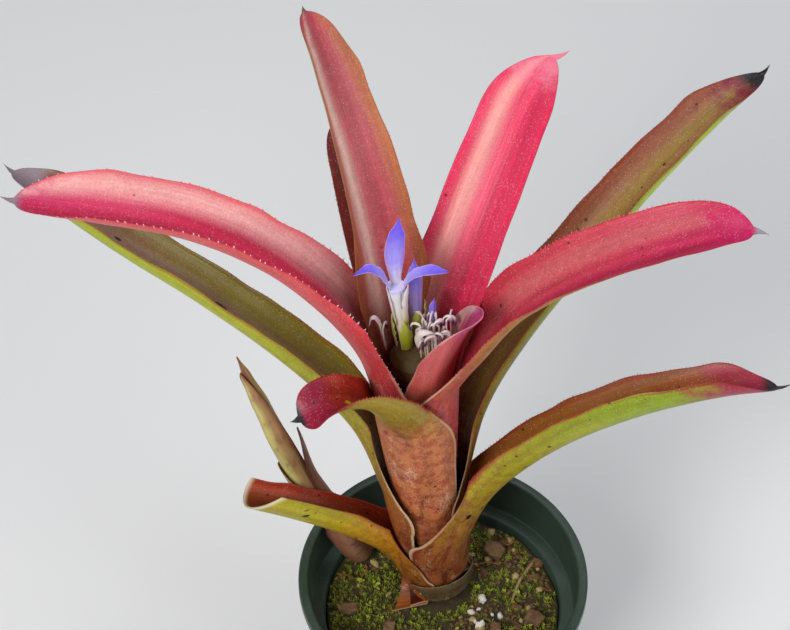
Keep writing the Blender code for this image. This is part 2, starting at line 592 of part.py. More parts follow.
def build_mix(crown):
    """The potting mix: it fills the pot to below its ledge, with a pit for the stem."""
    bottom = FLOOR + PIECE_GAP
    floor_radius = BASE_RADIUS - WALL - EDGE_ROUND - PIECE_GAP
    edge_height = mix_level()
    edge_radius = inner_radius(edge_height - MIX_MOUND) - PIECE_GAP
    vertices = []
    for ring in range(1, MIX_RINGS + 1):
        radius = edge_radius * ring / MIX_RINGS
        for k in range(MIX_SEGMENTS):
            a = 2.0 * math.pi * k / MIX_SEGMENTS
            x, y = radius * math.cos(a), radius * math.sin(a)
            vertices.append((x, y, mix_height(x, y)))
    foot = bottom + EDGE_ROUND
    for radius, height in ((inner_radius(foot) - PIECE_GAP, foot), (floor_radius, bottom)):
        for k in range(MIX_SEGMENTS):
            a = 2.0 * math.pi * k / MIX_SEGMENTS
            vertices.append((radius * math.cos(a), radius * math.sin(a), height))
    rings = MIX_RINGS + 2
    top = len(vertices)
    vertices.append((0.0, 0.0, mix_height(0.0, 0.0)))
    vertices.append((0.0, 0.0, bottom))
    faces = []
    for k in range(MIX_SEGMENTS):
        n = (k + 1) % MIX_SEGMENTS
        faces.append((top, k, n))
        for ring in range(rings - 1):
            a = ring * MIX_SEGMENTS
            faces.append((a + k, a + MIX_SEGMENTS + k, a + MIX_SEGMENTS + n, a + n))
        a = (rings - 1) * MIX_SEGMENTS
        faces.append((a + k, top + 1, a + n))
    mix = add_piece("potting_mix", vertices, faces, (0.05, 0.035, 0.02), 0.95)
    pit_radius = STEM_FOOT_RADIUS + PIECE_GAP
    profile = [(0.0, -STEM_DEPTH - PIECE_GAP), (pit_radius, -STEM_DEPTH - PIECE_GAP), (pit_radius, STEM_DEPTH),
               (0.0, STEM_DEPTH)]
    vertices, faces = turned(profile, STEM_SEGMENTS)
    cutter = add_piece("stem_pit_cutter", vertices, faces, (1, 1, 1), parent=crown)
    cutter.hide_render = True
    cutter.display_type = "WIRE"
    cut = mix.modifiers.new("stem_pit", "BOOLEAN")
    cut.operation = "DIFFERENCE"
    cut.solver = "EXACT"
    cut.object = cutter
    return mix


def build_stem(crown):
    """Short stem, hidden by the sheaths, rooted in the mix."""
    profile = [(0.0, -STEM_DEPTH), (STEM_FOOT_RADIUS - STEM_ROUND, -STEM_DEPTH),
               (STEM_FOOT_RADIUS, -STEM_DEPTH + STEM_ROUND)]
    for share in (0.0, 0.33, 0.66, 0.95):
        height = STEM_TOP * share
        profile.append((float(stem_radius(height)), height))
    profile += [(STEM_TOP_RADIUS * 0.6, STEM_TOP * 0.99), (0.0, STEM_TOP)]
    vertices, faces = turned(profile, STEM_SEGMENTS)
    return add_piece("stem", vertices, faces, (0.30, 0.26, 0.12), 0.7, crown)


def build_flower_head(crown):
    """Flower stalk with the low dome that carries the flowers in the cup."""
    foot = STEM_TOP + PIECE_GAP
    profile = [(0.0, foot), (PEDUNCLE_RADIUS, foot), (PEDUNCLE_RADIUS, HEAD_TOP - HEAD_NECK)]
    profile += [(HEAD_RADIUS * share, HEAD_TOP - depth) for share, depth in HEAD_PROFILE]
    profile.append((0.0, HEAD_TOP))
    vertices, faces = turned(profile, HEAD_SEGMENTS)
    return add_piece("flower_head", vertices, faces, (0.45, 0.42, 0.16), 0.6, crown)


def build_strip(strip, crown):
    """A petal, sepal or spent flower."""
    fractions = np.linspace(0.0, 1.0, 8)
    centres, _ = spline(strip.path, fractions)
    _, across, normal = frames_along(centres, np.asarray(strip.side, float))
    half_width = eased(strip.half_width, fractions)
    rounding = np.clip((fractions - strip.tip_start) / (1.0 - strip.tip_start), 0.0, 1.0)
    half_width = np.maximum(half_width * np.sqrt(1.0 - rounding**2), 0.0003)
    radius = np.full(len(fractions), strip.channel)
    grid = section_grid(centres, across, normal, half_width, radius, 4)
    vertices, faces = thicken(grid, PETAL_THICKNESS)
    return add_piece(strip.name, vertices, faces, strip.colour, 0.5, crown)


def build_flowers(crown):
    """The open flower, two buds and the spent flowers."""
    side = (1.0, 0.0, 0.0)
    for name, path, radii, colour in (
            ("flower_tube", TUBE_PATH, TUBE_RADII, (0.85, 0.85, 0.80)),
            ("flower_bud_large", BUD_PATH, BUD_RADII, LAVENDER),
            ("flower_bud_small", SMALL_BUD_PATH, SMALL_BUD_RADII, LAVENDER)):
        vertices, faces = curved_rod(path, radii, 8, side, 7)
        add_piece(name, vertices, faces, colour, 0.5, crown)
    for strip in FLOWER_STRIPS:
        build_strip(strip, crown)


def offset_path():
    """The offset's centre line in the pot's frame."""
    x, y, up = OFFSET_FOOT
    return [(x, y, mix_level() + up)] + [(x, y, POT_HEIGHT + up) for x, y, up in OFFSET_LINE]


def build_scale(scale):
    """A pointed scale leaf wrapped round the offset."""
    fractions = np.linspace(scale.start, scale.end, 9)
    centres, _ = spline(offset_path(), fractions)
    _, across, normal = frames_along(centres, np.array([0.0, 1.0, 0.0]))
    share = (fractions - scale.start) / (scale.end - scale.start)
    radius = eased(OFFSET_RADII, fractions) + SCALE_GAP + scale.layer * (SCALE_THICKNESS + SCALE_GAP)
    radius = radius + scale.flare * smooth_step((share - 0.45) / 0.55)
    point = np.sqrt(1.0 - np.clip((share - 0.35) / 0.65, 0.0, 1.0)**1.6)
    wrap = np.maximum(np.radians(scale.wrap) * point, 0.12)
    u = np.linspace(-1.0, 1.0, 9)
    angle = math.radians(scale.facing) + wrap[:, None] * u[None]
    grid = (centres[:, None] + across[:, None] * (radius[:, None] * np.cos(angle))[..., None]
            + normal[:, None] * (radius[:, None] * np.sin(angle))[..., None])
    vertices, faces = thicken(grid, SCALE_THICKNESS)
    return add_piece(scale.name, vertices, faces, scale.colour, 0.6)


def build_offset():
    """The young shoot: stem, spear and scale leaves."""
    side = (0.0, 1.0, 0.0)
    _, length = spline(offset_path(), (0.0, 1.0))
    spear_start = OFFSET_STEM_END + PIECE_GAP / length
    for name, start, end, spans, colour in (
            ("offset_stem", 0.0, OFFSET_STEM_END, OFFSET_STEM_SPANS, (0.32, 0.25, 0.14)),
            ("offset_spear", spear_start, 1.0, OFFSET_SPEAR_SPANS, (0.50, 0.38, 0.24))):
        fractions = np.linspace(start, end, spans + 1)
        centres, _ = spline(offset_path(), fractions)
        vertices, faces = rod(centres, eased(OFFSET_RADII, fractions), 10, side)
        add_piece(name, vertices, faces, colour, 0.6)
    for scale in SCALES:
        build_scale(scale)


def chip_mesh(seed, length, width, thickness):
    """A rough flat chip: a convex hull of jittered box corners and mid points."""
    rng = random.Random(seed)
    work = bmesh.new()
    for sx in (-1, 0, 1):
        for sy in (-1, 1):
            for sz in (-1, 1):
                jitter = [1.0 + rng.uniform(-CHIP_JITTER, CHIP_JITTER) for _ in range(3)]
                stretch = CHIP_BULGE if sx == 0 else 1.0
                work.verts.new((sx * length / 2 * jitter[0], sy * width / 2 * jitter[1] * stretch,
                                sz * thickness / 2 * jitter[2] * stretch))
    hull = bmesh.ops.convex_hull(work, input=work.verts)
    loose = {v for v in hull["geom_interior"] + hull["geom_unused"] if isinstance(v, bmesh.types.BMVert)}
    bmesh.ops.delete(work, geom=list(loose), context="VERTS")
    work.verts.index_update()
    vertices = [v.co.copy() for v in work.verts]
    faces = [tuple(v.index for v in f.verts) for f in work.faces]
    work.free()
    return vertices, faces


def lay_on(surface, vertices, x, y, turn):
    """Turn a piece about Z, move it to a place and lower it to just above a surface."""
    c, s = math.cos(turn), math.sin(turn)
    placed = [Vector((x + c * v.x - s * v.y, y + s * v.x + c * v.y, v.z)) for v in vertices]
    rest = -1.0
    for point in placed:
        for share in (0.0, 0.5, 1.0):
            px, py = x + (point.x - x) * share, y + (point.y - y) * share
            hit = surface.ray_cast(Vector((px, py, POT_HEIGHT)), Vector((0, 0, -1)))
            if hit[0] is not None:
                rest = max(rest, hit[0].z)
    low = min(p.z for p in placed)
    return [Vector((p.x, p.y, p.z - low + rest + PIECE_GAP)) for p in placed]


def build_chips(mix):
    """Bark chips and a twig that lie on the mix."""
    surface = BVHTree.FromPolygons([v.co.copy() for v in mix.data.vertices],
                                   [tuple(p.vertices) for p in mix.data.polygons])
    reach = inner_radius(mix_level() - MIX_MOUND)
    for index, (share, degrees, scale) in enumerate(CHIP_PLACES):
        size = CHIP_SIZE * scale
        vertices, faces = chip_mesh(index, size, size * CHIP_WIDTH, size * CHIP_THICKNESS)
        turn = math.radians(degrees)
        x, y = reach * share * math.cos(turn), reach * share * math.sin(turn)
        placed = lay_on(surface, vertices, x, y, turn * CHIP_SPIN)
        add_piece(f"bark_chip_{index + 1}", placed, faces, (0.20, 0.12, 0.07), 0.9)
    half = TWIG_LENGTH / 2
    path = ((-half, 0.0, 0.0), (0.0, half * TWIG_BEND, 0.0), (half, 0.0, 0.0))
    vertices, faces = curved_rod(path, (TWIG_RADIUS * 0.6, TWIG_RADIUS, TWIG_RADIUS * 0.6), 6, (0.0, 1.0, 0.0), 4)
    along_x, along_y, degrees = TWIG_PLACE
    placed = lay_on(surface, [Vector(v) for v in vertices], reach * along_x, reach * along_y, math.radians(degrees))
    add_piece("twig", placed, faces, (0.30, 0.24, 0.16), 0.8)


def main():
    """Build every piece."""
    clear_scene()
    crown = bpy.data.objects.new("rosette_axis", None)
    bpy.context.scene.collection.objects.link(crown)
    crown.location = (CROWN_X, CROWN_Y, mix_level())
    crown.rotation_euler = (0.0, math.radians(CROWN_LEAN), 0.0)
    build_pot()
    mix = build_mix(crown)
    build_stem(crown)
    build_leaf(DRY_SHEATH, crown)
    for leaf in LEAVES:
        build_leaf(leaf, crown)
    build_flower_head(crown)
    build_flowers(crown)
    build_offset()
    build_chips(mix)
    bpy.context.view_layer.update()


main()
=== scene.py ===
"""Looks of a potted bromeliad: fine leaves, flowers, offset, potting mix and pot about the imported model.

Units are metres, +Z up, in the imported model's own frame.
"""

import logging
import math
import random
from dataclasses import dataclass, field
from enum import Enum

import bmesh
import bpy
import numpy as np
from mathutils import Matrix, Vector, noise


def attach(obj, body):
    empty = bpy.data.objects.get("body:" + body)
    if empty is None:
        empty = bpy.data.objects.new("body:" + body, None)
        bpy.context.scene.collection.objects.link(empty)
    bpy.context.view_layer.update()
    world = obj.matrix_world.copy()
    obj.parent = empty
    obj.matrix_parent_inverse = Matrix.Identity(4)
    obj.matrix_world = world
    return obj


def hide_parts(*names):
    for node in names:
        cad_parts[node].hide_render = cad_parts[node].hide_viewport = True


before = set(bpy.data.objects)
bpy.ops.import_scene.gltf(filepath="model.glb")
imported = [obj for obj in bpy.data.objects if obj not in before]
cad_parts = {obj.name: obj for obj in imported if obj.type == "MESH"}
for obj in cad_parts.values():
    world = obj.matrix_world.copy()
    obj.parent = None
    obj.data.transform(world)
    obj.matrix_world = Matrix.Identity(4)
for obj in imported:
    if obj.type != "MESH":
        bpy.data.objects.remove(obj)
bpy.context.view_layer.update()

log = logging.getLogger("bromeliad")

Pairs = tuple[tuple[float, float], ...]
Point = tuple[float, float, float]
Colour = tuple[float, float, float, float]
Socket = bpy.types.NodeSocket

BODY = "root"
LEAF_DEPTH = 1.32


# ---------------------------------------------------------------- small maths
def paint(red: float, green: float, blue: float) -> Colour:
    """A colour given as screen values from 0 to 1.

    Args:
        red: Red share on screen.
        green: Green share on screen.
        blue: Blue share on screen.

    Returns:
        The same colour in linear light, with alpha 1.
    """
    def linear(value: float) -> float:
        """One channel in linear light."""
        return value / 12.92 if value <= 0.04045 else ((value + 0.055) / 1.055) ** 2.4

    return (linear(red), linear(green), linear(blue), 1.0)


def smooth_step(t: np.ndarray | float) -> np.ndarray:
    """Ease from 0 to 1."""
    t = np.clip(t, 0.0, 1.0)
    return t * t * (3.0 - 2.0 * t)


def eased(pairs: Pairs, at: np.ndarray | float) -> np.ndarray:
    """Value between (station, value) pairs, eased from each pair to the next.

    Args:
        pairs: Stations in rising order, each with its value.
        at: Stations to read.

    Returns:
        The eased values.
    """
    stations = np.array([p[0] for p in pairs], float)
    values = np.array([p[1] for p in pairs], float)
    at = np.asarray(at, float)
    low = np.clip(np.searchsorted(stations, at, side="right") - 1, 0, len(pairs) - 2)
    t = smooth_step((at - stations[low]) / (stations[low + 1] - stations[low]))
    return values[low] * (1.0 - t) + values[low + 1] * t


def spline(points: np.ndarray | tuple, fractions: np.ndarray | tuple) -> tuple[np.ndarray, float]:
    """Catmull-Rom curve through points, read at fractions of its length.

    Args:
        points: Points that the curve passes through.
        fractions: Shares of its length.

    Returns:
        The positions and the curve's length.
    """
    points = np.asarray(points, float)
    padded = np.vstack([2 * points[0] - points[1], points, 2 * points[-1] - points[-2]])
    t = np.linspace(0.0, 1.0, 24, endpoint=False)[:, None]
    runs = []
    for a, b, c, d in zip(padded[:-3], padded[1:-2], padded[2:-1], padded[3:]):
        runs.append(0.5 * (2 * b + (c - a) * t + (2 * a - 5 * b + 4 * c - d) * t**2
                           + (3 * b - a - 3 * c + d) * t**3))
    dense = np.vstack(runs + [points[-1:]])
    along = np.r_[0.0, np.cumsum(np.linalg.norm(np.diff(dense, axis=0), axis=1))]
    at = np.asarray(fractions) * along[-1]
    return np.stack([np.interp(at, along, dense[:, k]) for k in range(3)], axis=1), float(along[-1])


def unit(vectors: np.ndarray) -> np.ndarray:
    """Vectors at length one, along the last axis."""
    return vectors / np.maximum(np.linalg.norm(vectors, axis=-1, keepdims=True), 1e-12)


def frames_along(centres: np.ndarray, side: np.ndarray) -> tuple[np.ndarray, np.ndarray, np.ndarray]:
    """Tangent, side and normal at each centre.

    Args:
        centres: Points along a line.
        side: Direction that the sides start from.

    Returns:
        Unit tangents, sides and normals.
    """
    tangent = unit(np.gradient(centres, axis=0))
    across = unit(side - (tangent @ side)[:, None] * tangent)
    return tangent, across, np.cross(tangent, across)


# ---------------------------------------------------------------- meshes
def mesh_object(name: str, vertices: np.ndarray | list, faces: list, material: bpy.types.Material,
                vectors: dict[str, np.ndarray] | None = None, sharp: float = 50.0) -> bpy.types.Object:
    """Make a smooth mesh object at the origin.

    Args:
        name: Object name.
        vertices: Points in the model's frame.
        faces: Vertex indices of each face.
        material: Its finish.
        vectors: Vector attributes, one row for each vertex.
        sharp: Angle in degrees past which an edge is sharp.

    Returns:
        The new object.
    """
    mesh = bpy.data.meshes.new(name)
    mesh.from_pydata(np.asarray(vertices, float).tolist(), [], faces)
    for label, rows in (vectors or {}).items():
        layer = mesh.attributes.new(label, "FLOAT_VECTOR", "POINT")
        layer.data.foreach_set("vector", np.asarray(rows, np.float32).ravel())
    mesh.validate()
    mesh.shade_smooth()
    mesh.set_sharp_from_angle(angle=math.radians(sharp))
    mesh.materials.append(material)
    piece = bpy.data.objects.new(name, mesh)
    bpy.context.scene.collection.objects.link(piece)
    return piece


def settle(piece: bpy.types.Object, slot: str, *nodes: str) -> bpy.types.Object:
    """Fix a finished piece to the model and report it.

    Args:
        piece: The finished piece.
        slot: Name of a material slot; not used.
        nodes: CAD nodes that it stands for.

    Returns:
        The same piece.
    """
    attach(piece, BODY)
    if nodes:
        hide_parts(*nodes)
    log.info("%s: %d faces", piece.name, len(piece.data.polygons))
    return piece


def closed_sheet(inner: np.ndarray, outer: np.ndarray, lie: np.ndarray,
                 flat: np.ndarray) -> tuple[np.ndarray, list, dict[str, np.ndarray]]:
    """Close two grids of points into one solid with a rounded rim.

    Args:
        inner: Rows and columns of points on the inner side.
        outer: The same on the outer side.
        lie: Place across, station along and side of each inner point; the side is set here.
        flat: Distance across and along of each inner point, in metres.

    Returns:
        Vertices, faces and the vector attributes "lie" and "flat".
    """
    rows, columns = inner.shape[:2]
    border = [(i, 0) for i in range(rows)] + [(rows - 1, j) for j in range(1, columns)]
    border += [(i, columns - 1) for i in range(rows - 2, -1, -1)] + [(0, j) for j in range(columns - 2, 0,
                                                                                           -1)]
    away = np.zeros_like(inner)
    away[:, 0] += unit(inner[:, 0] - inner[:, 1])
    away[:, -1] += unit(inner[:, -1] - inner[:, -2])
    away[0] += unit(inner[0] - inner[1])
    away[-1] += unit(inner[-1] - inner[-2])
    bi = np.array([b[0] for b in border])
    bj = np.array([b[1] for b in border])
    wall = np.linalg.norm(inner[bi, bj] - outer[bi, bj], axis=1)[:, None]
    rim = (inner[bi, bj] + outer[bi, bj]) / 2 + unit(away[bi, bj]) * wall * 0.35
    count = rows * columns
    vertices = np.vstack([inner.reshape(-1, 3), outer.reshape(-1, 3), rim])
    index = np.arange(count).reshape(rows, columns)
    a, b = index[:-1, :-1].ravel(), index[1:, :-1].ravel()
    c, d = index[1:, 1:].ravel(), index[:-1, 1:].ravel()
    faces = np.stack([a, b, c, d], axis=1).tolist()
    faces += (np.stack([d, c, b, a], axis=1) + count).tolist()
    ring = index[bi, bj]
    for k in range(len(ring)):
        n = (k + 1) % len(ring)
        p, q, rp, rq = int(ring[k]), int(ring[n]), 2 * count + k, 2 * count + n
        faces.append([q, p, rp, rq])
        faces.append([rq, rp, p + count, q + count])
    def both(grid: np.ndarray, sides: tuple[float, float, float]) -> np.ndarray:
        """The grid's values for the inner side, the outer side and the rim."""
        parts = [grid.reshape(-1, 3).copy(), grid.reshape(-1, 3).copy(), grid[bi, bj].copy()]
        for part, side in zip(parts, sides):
            part[:, 2] = side
        return np.vstack(parts)

    return vertices, faces, {"lie": both(lie, (0.0, 1.0, 0.5)), "flat": both(flat, (0.0, 0.31, 0.15))}


def rod(centres: np.ndarray, radii: np.ndarray, segments: int, side: Point,
        flatten: float = 1.0) -> tuple[np.ndarray, list, dict[str, np.ndarray]]:
    """Closed round solid about a line of centres.

    Args:
        centres: Points along its middle.
        radii: Radius at each.
        segments: Points round it.
        side: Direction that its sections start from.
        flatten: Height of the section as a share of its width.

    Returns:
        Vertices, faces and the vector attributes "lie" and "flat".
    """
    _, across, normal = frames_along(centres, np.asarray(side, float))
    turn = np.linspace(0.0, 2.0 * math.pi, segments, endpoint=False)
    spokes = (across[:, None] * np.cos(turn)[None, :, None]
              + normal[:, None] * np.sin(turn)[None, :, None] * flatten)
    body = centres[:, None] + spokes * np.asarray(radii)[:, None, None]
    rows = len(centres)
    vertices = np.vstack([body.reshape(-1, 3), centres[:1], centres[-1:]])
    faces = []
    for row in range(rows - 1):
        for k in range(segments):
            n = (k + 1) % segments
            a = row * segments
            faces.append([a + k, a + n, a + segments + n, a + segments + k])
    first, last = rows * segments, rows * segments + 1
    for k in range(segments):
        n = (k + 1) % segments
        faces.append([first, n, k])
        faces.append([(rows - 1) * segments + k, (rows - 1) * segments + n, last])
    along = np.r_[0.0, np.cumsum(np.linalg.norm(np.diff(centres, axis=0), axis=1))]
    share = along / along[-1]
    lie = np.zeros((rows, segments, 3))
    lie[..., 0] = np.cos(turn)[None]
    lie[..., 1] = share[:, None]
    flat = np.zeros((rows, segments, 3))
    flat[..., 0] = np.asarray(radii)[:, None] * np.cos(turn)[None]
    flat[..., 1] = along[:, None]
    flat[..., 2] = np.asarray(radii)[:, None] * np.sin(turn)[None]
    ends = {"lie": np.array([[0, 0, 0], [0, 1, 0]]), "flat": np.array([[0, 0, 0], [0, along[-1], 0]])}
    return vertices, faces, {"lie": np.vstack([lie.reshape(-1, 3), ends["lie"]]),
                             "flat": np.vstack([flat.reshape(-1, 3), ends["flat"]])}


def turned(profile: list[tuple[float, float]], segments: int) -> tuple[list, list]:
    """Closed turned solid about the origin's axis.

    Args:
        profile: (radius, height) pairs that start and end on the axis, counter to the axis's right hand.
        segments: Points round it.

    Returns:
        Vertices and faces.
    """
    vertices = [(0.0, 0.0, profile[0][1])]
    faces = []
    inner = profile[1:-1]
    for radius, height in inner:
        for k in range(segments):
            a = 2.0 * math.pi * k / segments
            vertices.append((radius * math.cos(a), radius * math.sin(a), height))
    last = len(vertices)
    vertices.append((0.0, 0.0, profile[-1][1]))
    for k in range(segments):
        n = (k + 1) % segments
        faces.append((0, 1 + n, 1 + k))
        for row in range(len(inner) - 1):
            a = 1 + row * segments
            faces.append((a + k, a + n, a + segments + n, a + segments + k))
        a = 1 + (len(inner) - 1) * segments
        faces.append((a + k, a + n, last))
    return vertices, faces


def baked(piece: bpy.types.Object) -> bpy.types.Object:
    """Turn a piece's modifiers into plain mesh.

    Args:
        piece: A mesh object with modifiers.

    Returns:
        The same object with the evaluated mesh and no modifiers.
    """
    bpy.context.view_layer.update()
    shape = bpy.data.meshes.new_from_object(piece.evaluated_get(bpy.context.evaluated_depsgraph_get()))
    piece.modifiers.clear()
    piece.data = shape
    shape.name = piece.name
    return piece


# ---------------------------------------------------------------- node webs
class Web:
    """Makes and links the nodes of one tree."""

    def __init__(self, tree: bpy.types.NodeTree) -> None:
        """Keep the tree."""
        self.tree = tree

    def node(self, kind: str, inputs: dict | None = None, **settings) -> bpy.types.Node:
        """Add a node.

        Args:
            kind: Node type.
            inputs: Sockets by name, number or identifier, each with a socket to link or a plain value.
            settings: Properties of the node.

        Returns:
            The new node.
        """
        made = self.tree.nodes.new(kind)
        for key, value in settings.items():
            setattr(made, key, value)
        for key, value in (inputs or {}).items():
            self.feed(self.socket(made, key), value)
        return made

    @staticmethod
    def socket(node: bpy.types.Node, key: str | int) -> Socket:
        """An input found by its number, its identifier or its name."""
        if isinstance(key, int):
            return node.inputs[key]
        for each in node.inputs:
            if each.identifier == key and each.enabled:
                return each
        return next(each for each in node.inputs if each.name == key and each.enabled)

    def feed(self, socket: Socket, value: object) -> None:
        """Link a socket to an input, or set the input's own value."""
        if isinstance(value, bpy.types.NodeSocket):
            self.tree.links.new(value, socket)
        else:
            socket.default_value = value

    def math(self, operation: str, a: object, b: object = 0.5, clamp: bool = False) -> Socket:
        """A sum on one or two values."""
        made = self.node("ShaderNodeMath", {0: a, 1: b}, operation=operation, use_clamp=clamp)
        return made.outputs[0]

    def times(self, *values: object) -> Socket:
        """Values multiplied together."""
        total = values[0]
        for value in values[1:]:
            total = self.math("MULTIPLY", total, value)
        return total

    def mix(self, share: object, a: object, b: object, how: str = "MIX") -> Socket:
        """Two colours mixed by a share."""
        made = self.node("ShaderNodeMix", {"Factor_Float": share, "A_Color": a, "B_Color": b},
                         data_type="RGBA", blend_type=how)
        return made.outputs["Result"] if made.outputs["Result"].enabled else made.outputs[2]

    def between(self, share: object, a: object, b: object) -> Socket:
        """Two numbers mixed by a share."""
        made = self.node("ShaderNodeMix", {"Factor_Float": share, "A_Float": a, "B_Float": b},
                         data_type="FLOAT")
        return made.outputs[0]

    def step(self, value: object, low: object, high: object) -> Socket:
        """Ease from 0 to 1 as a value goes from low to high."""
        made = self.node("ShaderNodeMapRange", {"Value": value, "From Min": low, "From Max": high},
                         interpolation_type="SMOOTHSTEP")
        return made.outputs[0]

    def split(self, vector: object) -> tuple[Socket, Socket, Socket]:
        """The three parts of a vector."""
        made = self.node("ShaderNodeSeparateXYZ", {0: vector})
        return made.outputs[0], made.outputs[1], made.outputs[2]

    def join(self, x: object, y: object, z: object = 0.0) -> Socket:
        """A vector from three parts."""
        return self.node("ShaderNodeCombineXYZ", {0: x, 1: y, 2: z}).outputs[0]

    def scaled(self, vector: object, by: Point) -> Socket:
        """A vector scaled part by part."""
        return self.node("ShaderNodeVectorMath", {0: vector, 1: by}, operation="MULTIPLY").outputs[0]

    def noise(self, vector: object, scale: float, detail: float = 3.0, rough: float = 0.55,
              warp: float = 0.0) -> Socket:
        """Soft noise from 0 to 1."""
        made = self.node("ShaderNodeTexNoise", {"Vector": vector, "Scale": scale, "Detail": detail,
                                                "Roughness": rough, "Distortion": warp})
        return made.outputs["Fac"]

    def cells(self, vector: object, scale: float, random_share: float = 1.0) -> tuple[Socket, Socket]:
        """Distance to the nearest cell's centre, in cells, and the cell's own random colour."""
        made = self.node("ShaderNodeTexVoronoi", {"Vector": vector, "Scale": scale,
                                                  "Randomness": random_share})
        return made.outputs["Distance"], made.outputs["Color"]

    def attribute(self, name: str) -> Socket:
        """A vector attribute of the piece."""
        return self.node("ShaderNodeAttribute", attribute_name=name,
                         attribute_type="GEOMETRY").outputs["Vector"]

    def place(self) -> Socket:
        """Object coordinates."""
        return self.node("ShaderNodeTexCoord").outputs["Object"]

    def height(self, rise: object, depth: float, strength: float = 1.0) -> Socket:
        """A bump normal from a height."""
        return self.node("ShaderNodeBump", {"Height": rise, "Distance": depth,
                                            "Strength": strength}).outputs[0]


def new_group(name: str, kind: str, inputs: dict[str, tuple[str, object]],
              outputs: dict[str, str]) -> tuple[bpy.types.NodeTree, Web, bpy.types.Node, bpy.types.Node]:
    """A node group with named sockets.

    Args:
        name: Group name.
        kind: Tree type.
        inputs: Socket type and default value by name.
        outputs: Socket type by name.

    Returns:
        The tree, its web, and its input and output nodes.
    """
    tree = bpy.data.node_groups.new(name, kind)
    for label, (socket_type, value) in inputs.items():
        made = tree.interface.new_socket(label, in_out="INPUT", socket_type=socket_type)
        if value is not None:
            made.default_value = value
    for label, socket_type in outputs.items():
        tree.interface.new_socket(label, in_out="OUTPUT", socket_type=socket_type)
    web = Web(tree)
    return tree, web, web.node("NodeGroupInput"), web.node("NodeGroupOutput")


def new_material(name: str) -> tuple[bpy.types.Material, Web, bpy.types.Node]:
    """A material with its shader.

    Args:
        name: Material name.

    Returns:
        The material, its web and its Principled shader.
    """
    material = bpy.data.materials.new(name)
    material.use_nodes = True
    return material, Web(material.node_tree), material.node_tree.nodes["Principled BSDF"]


def set_shader(shader: bpy.types.Node, **values: float) -> None:
    """Set plain values on a shader, with socket names written in lower case and underscores."""
    for key, value in values.items():
        shader.inputs[key.replace("_", " ").title().replace("Ior", "IOR")].default_value = value


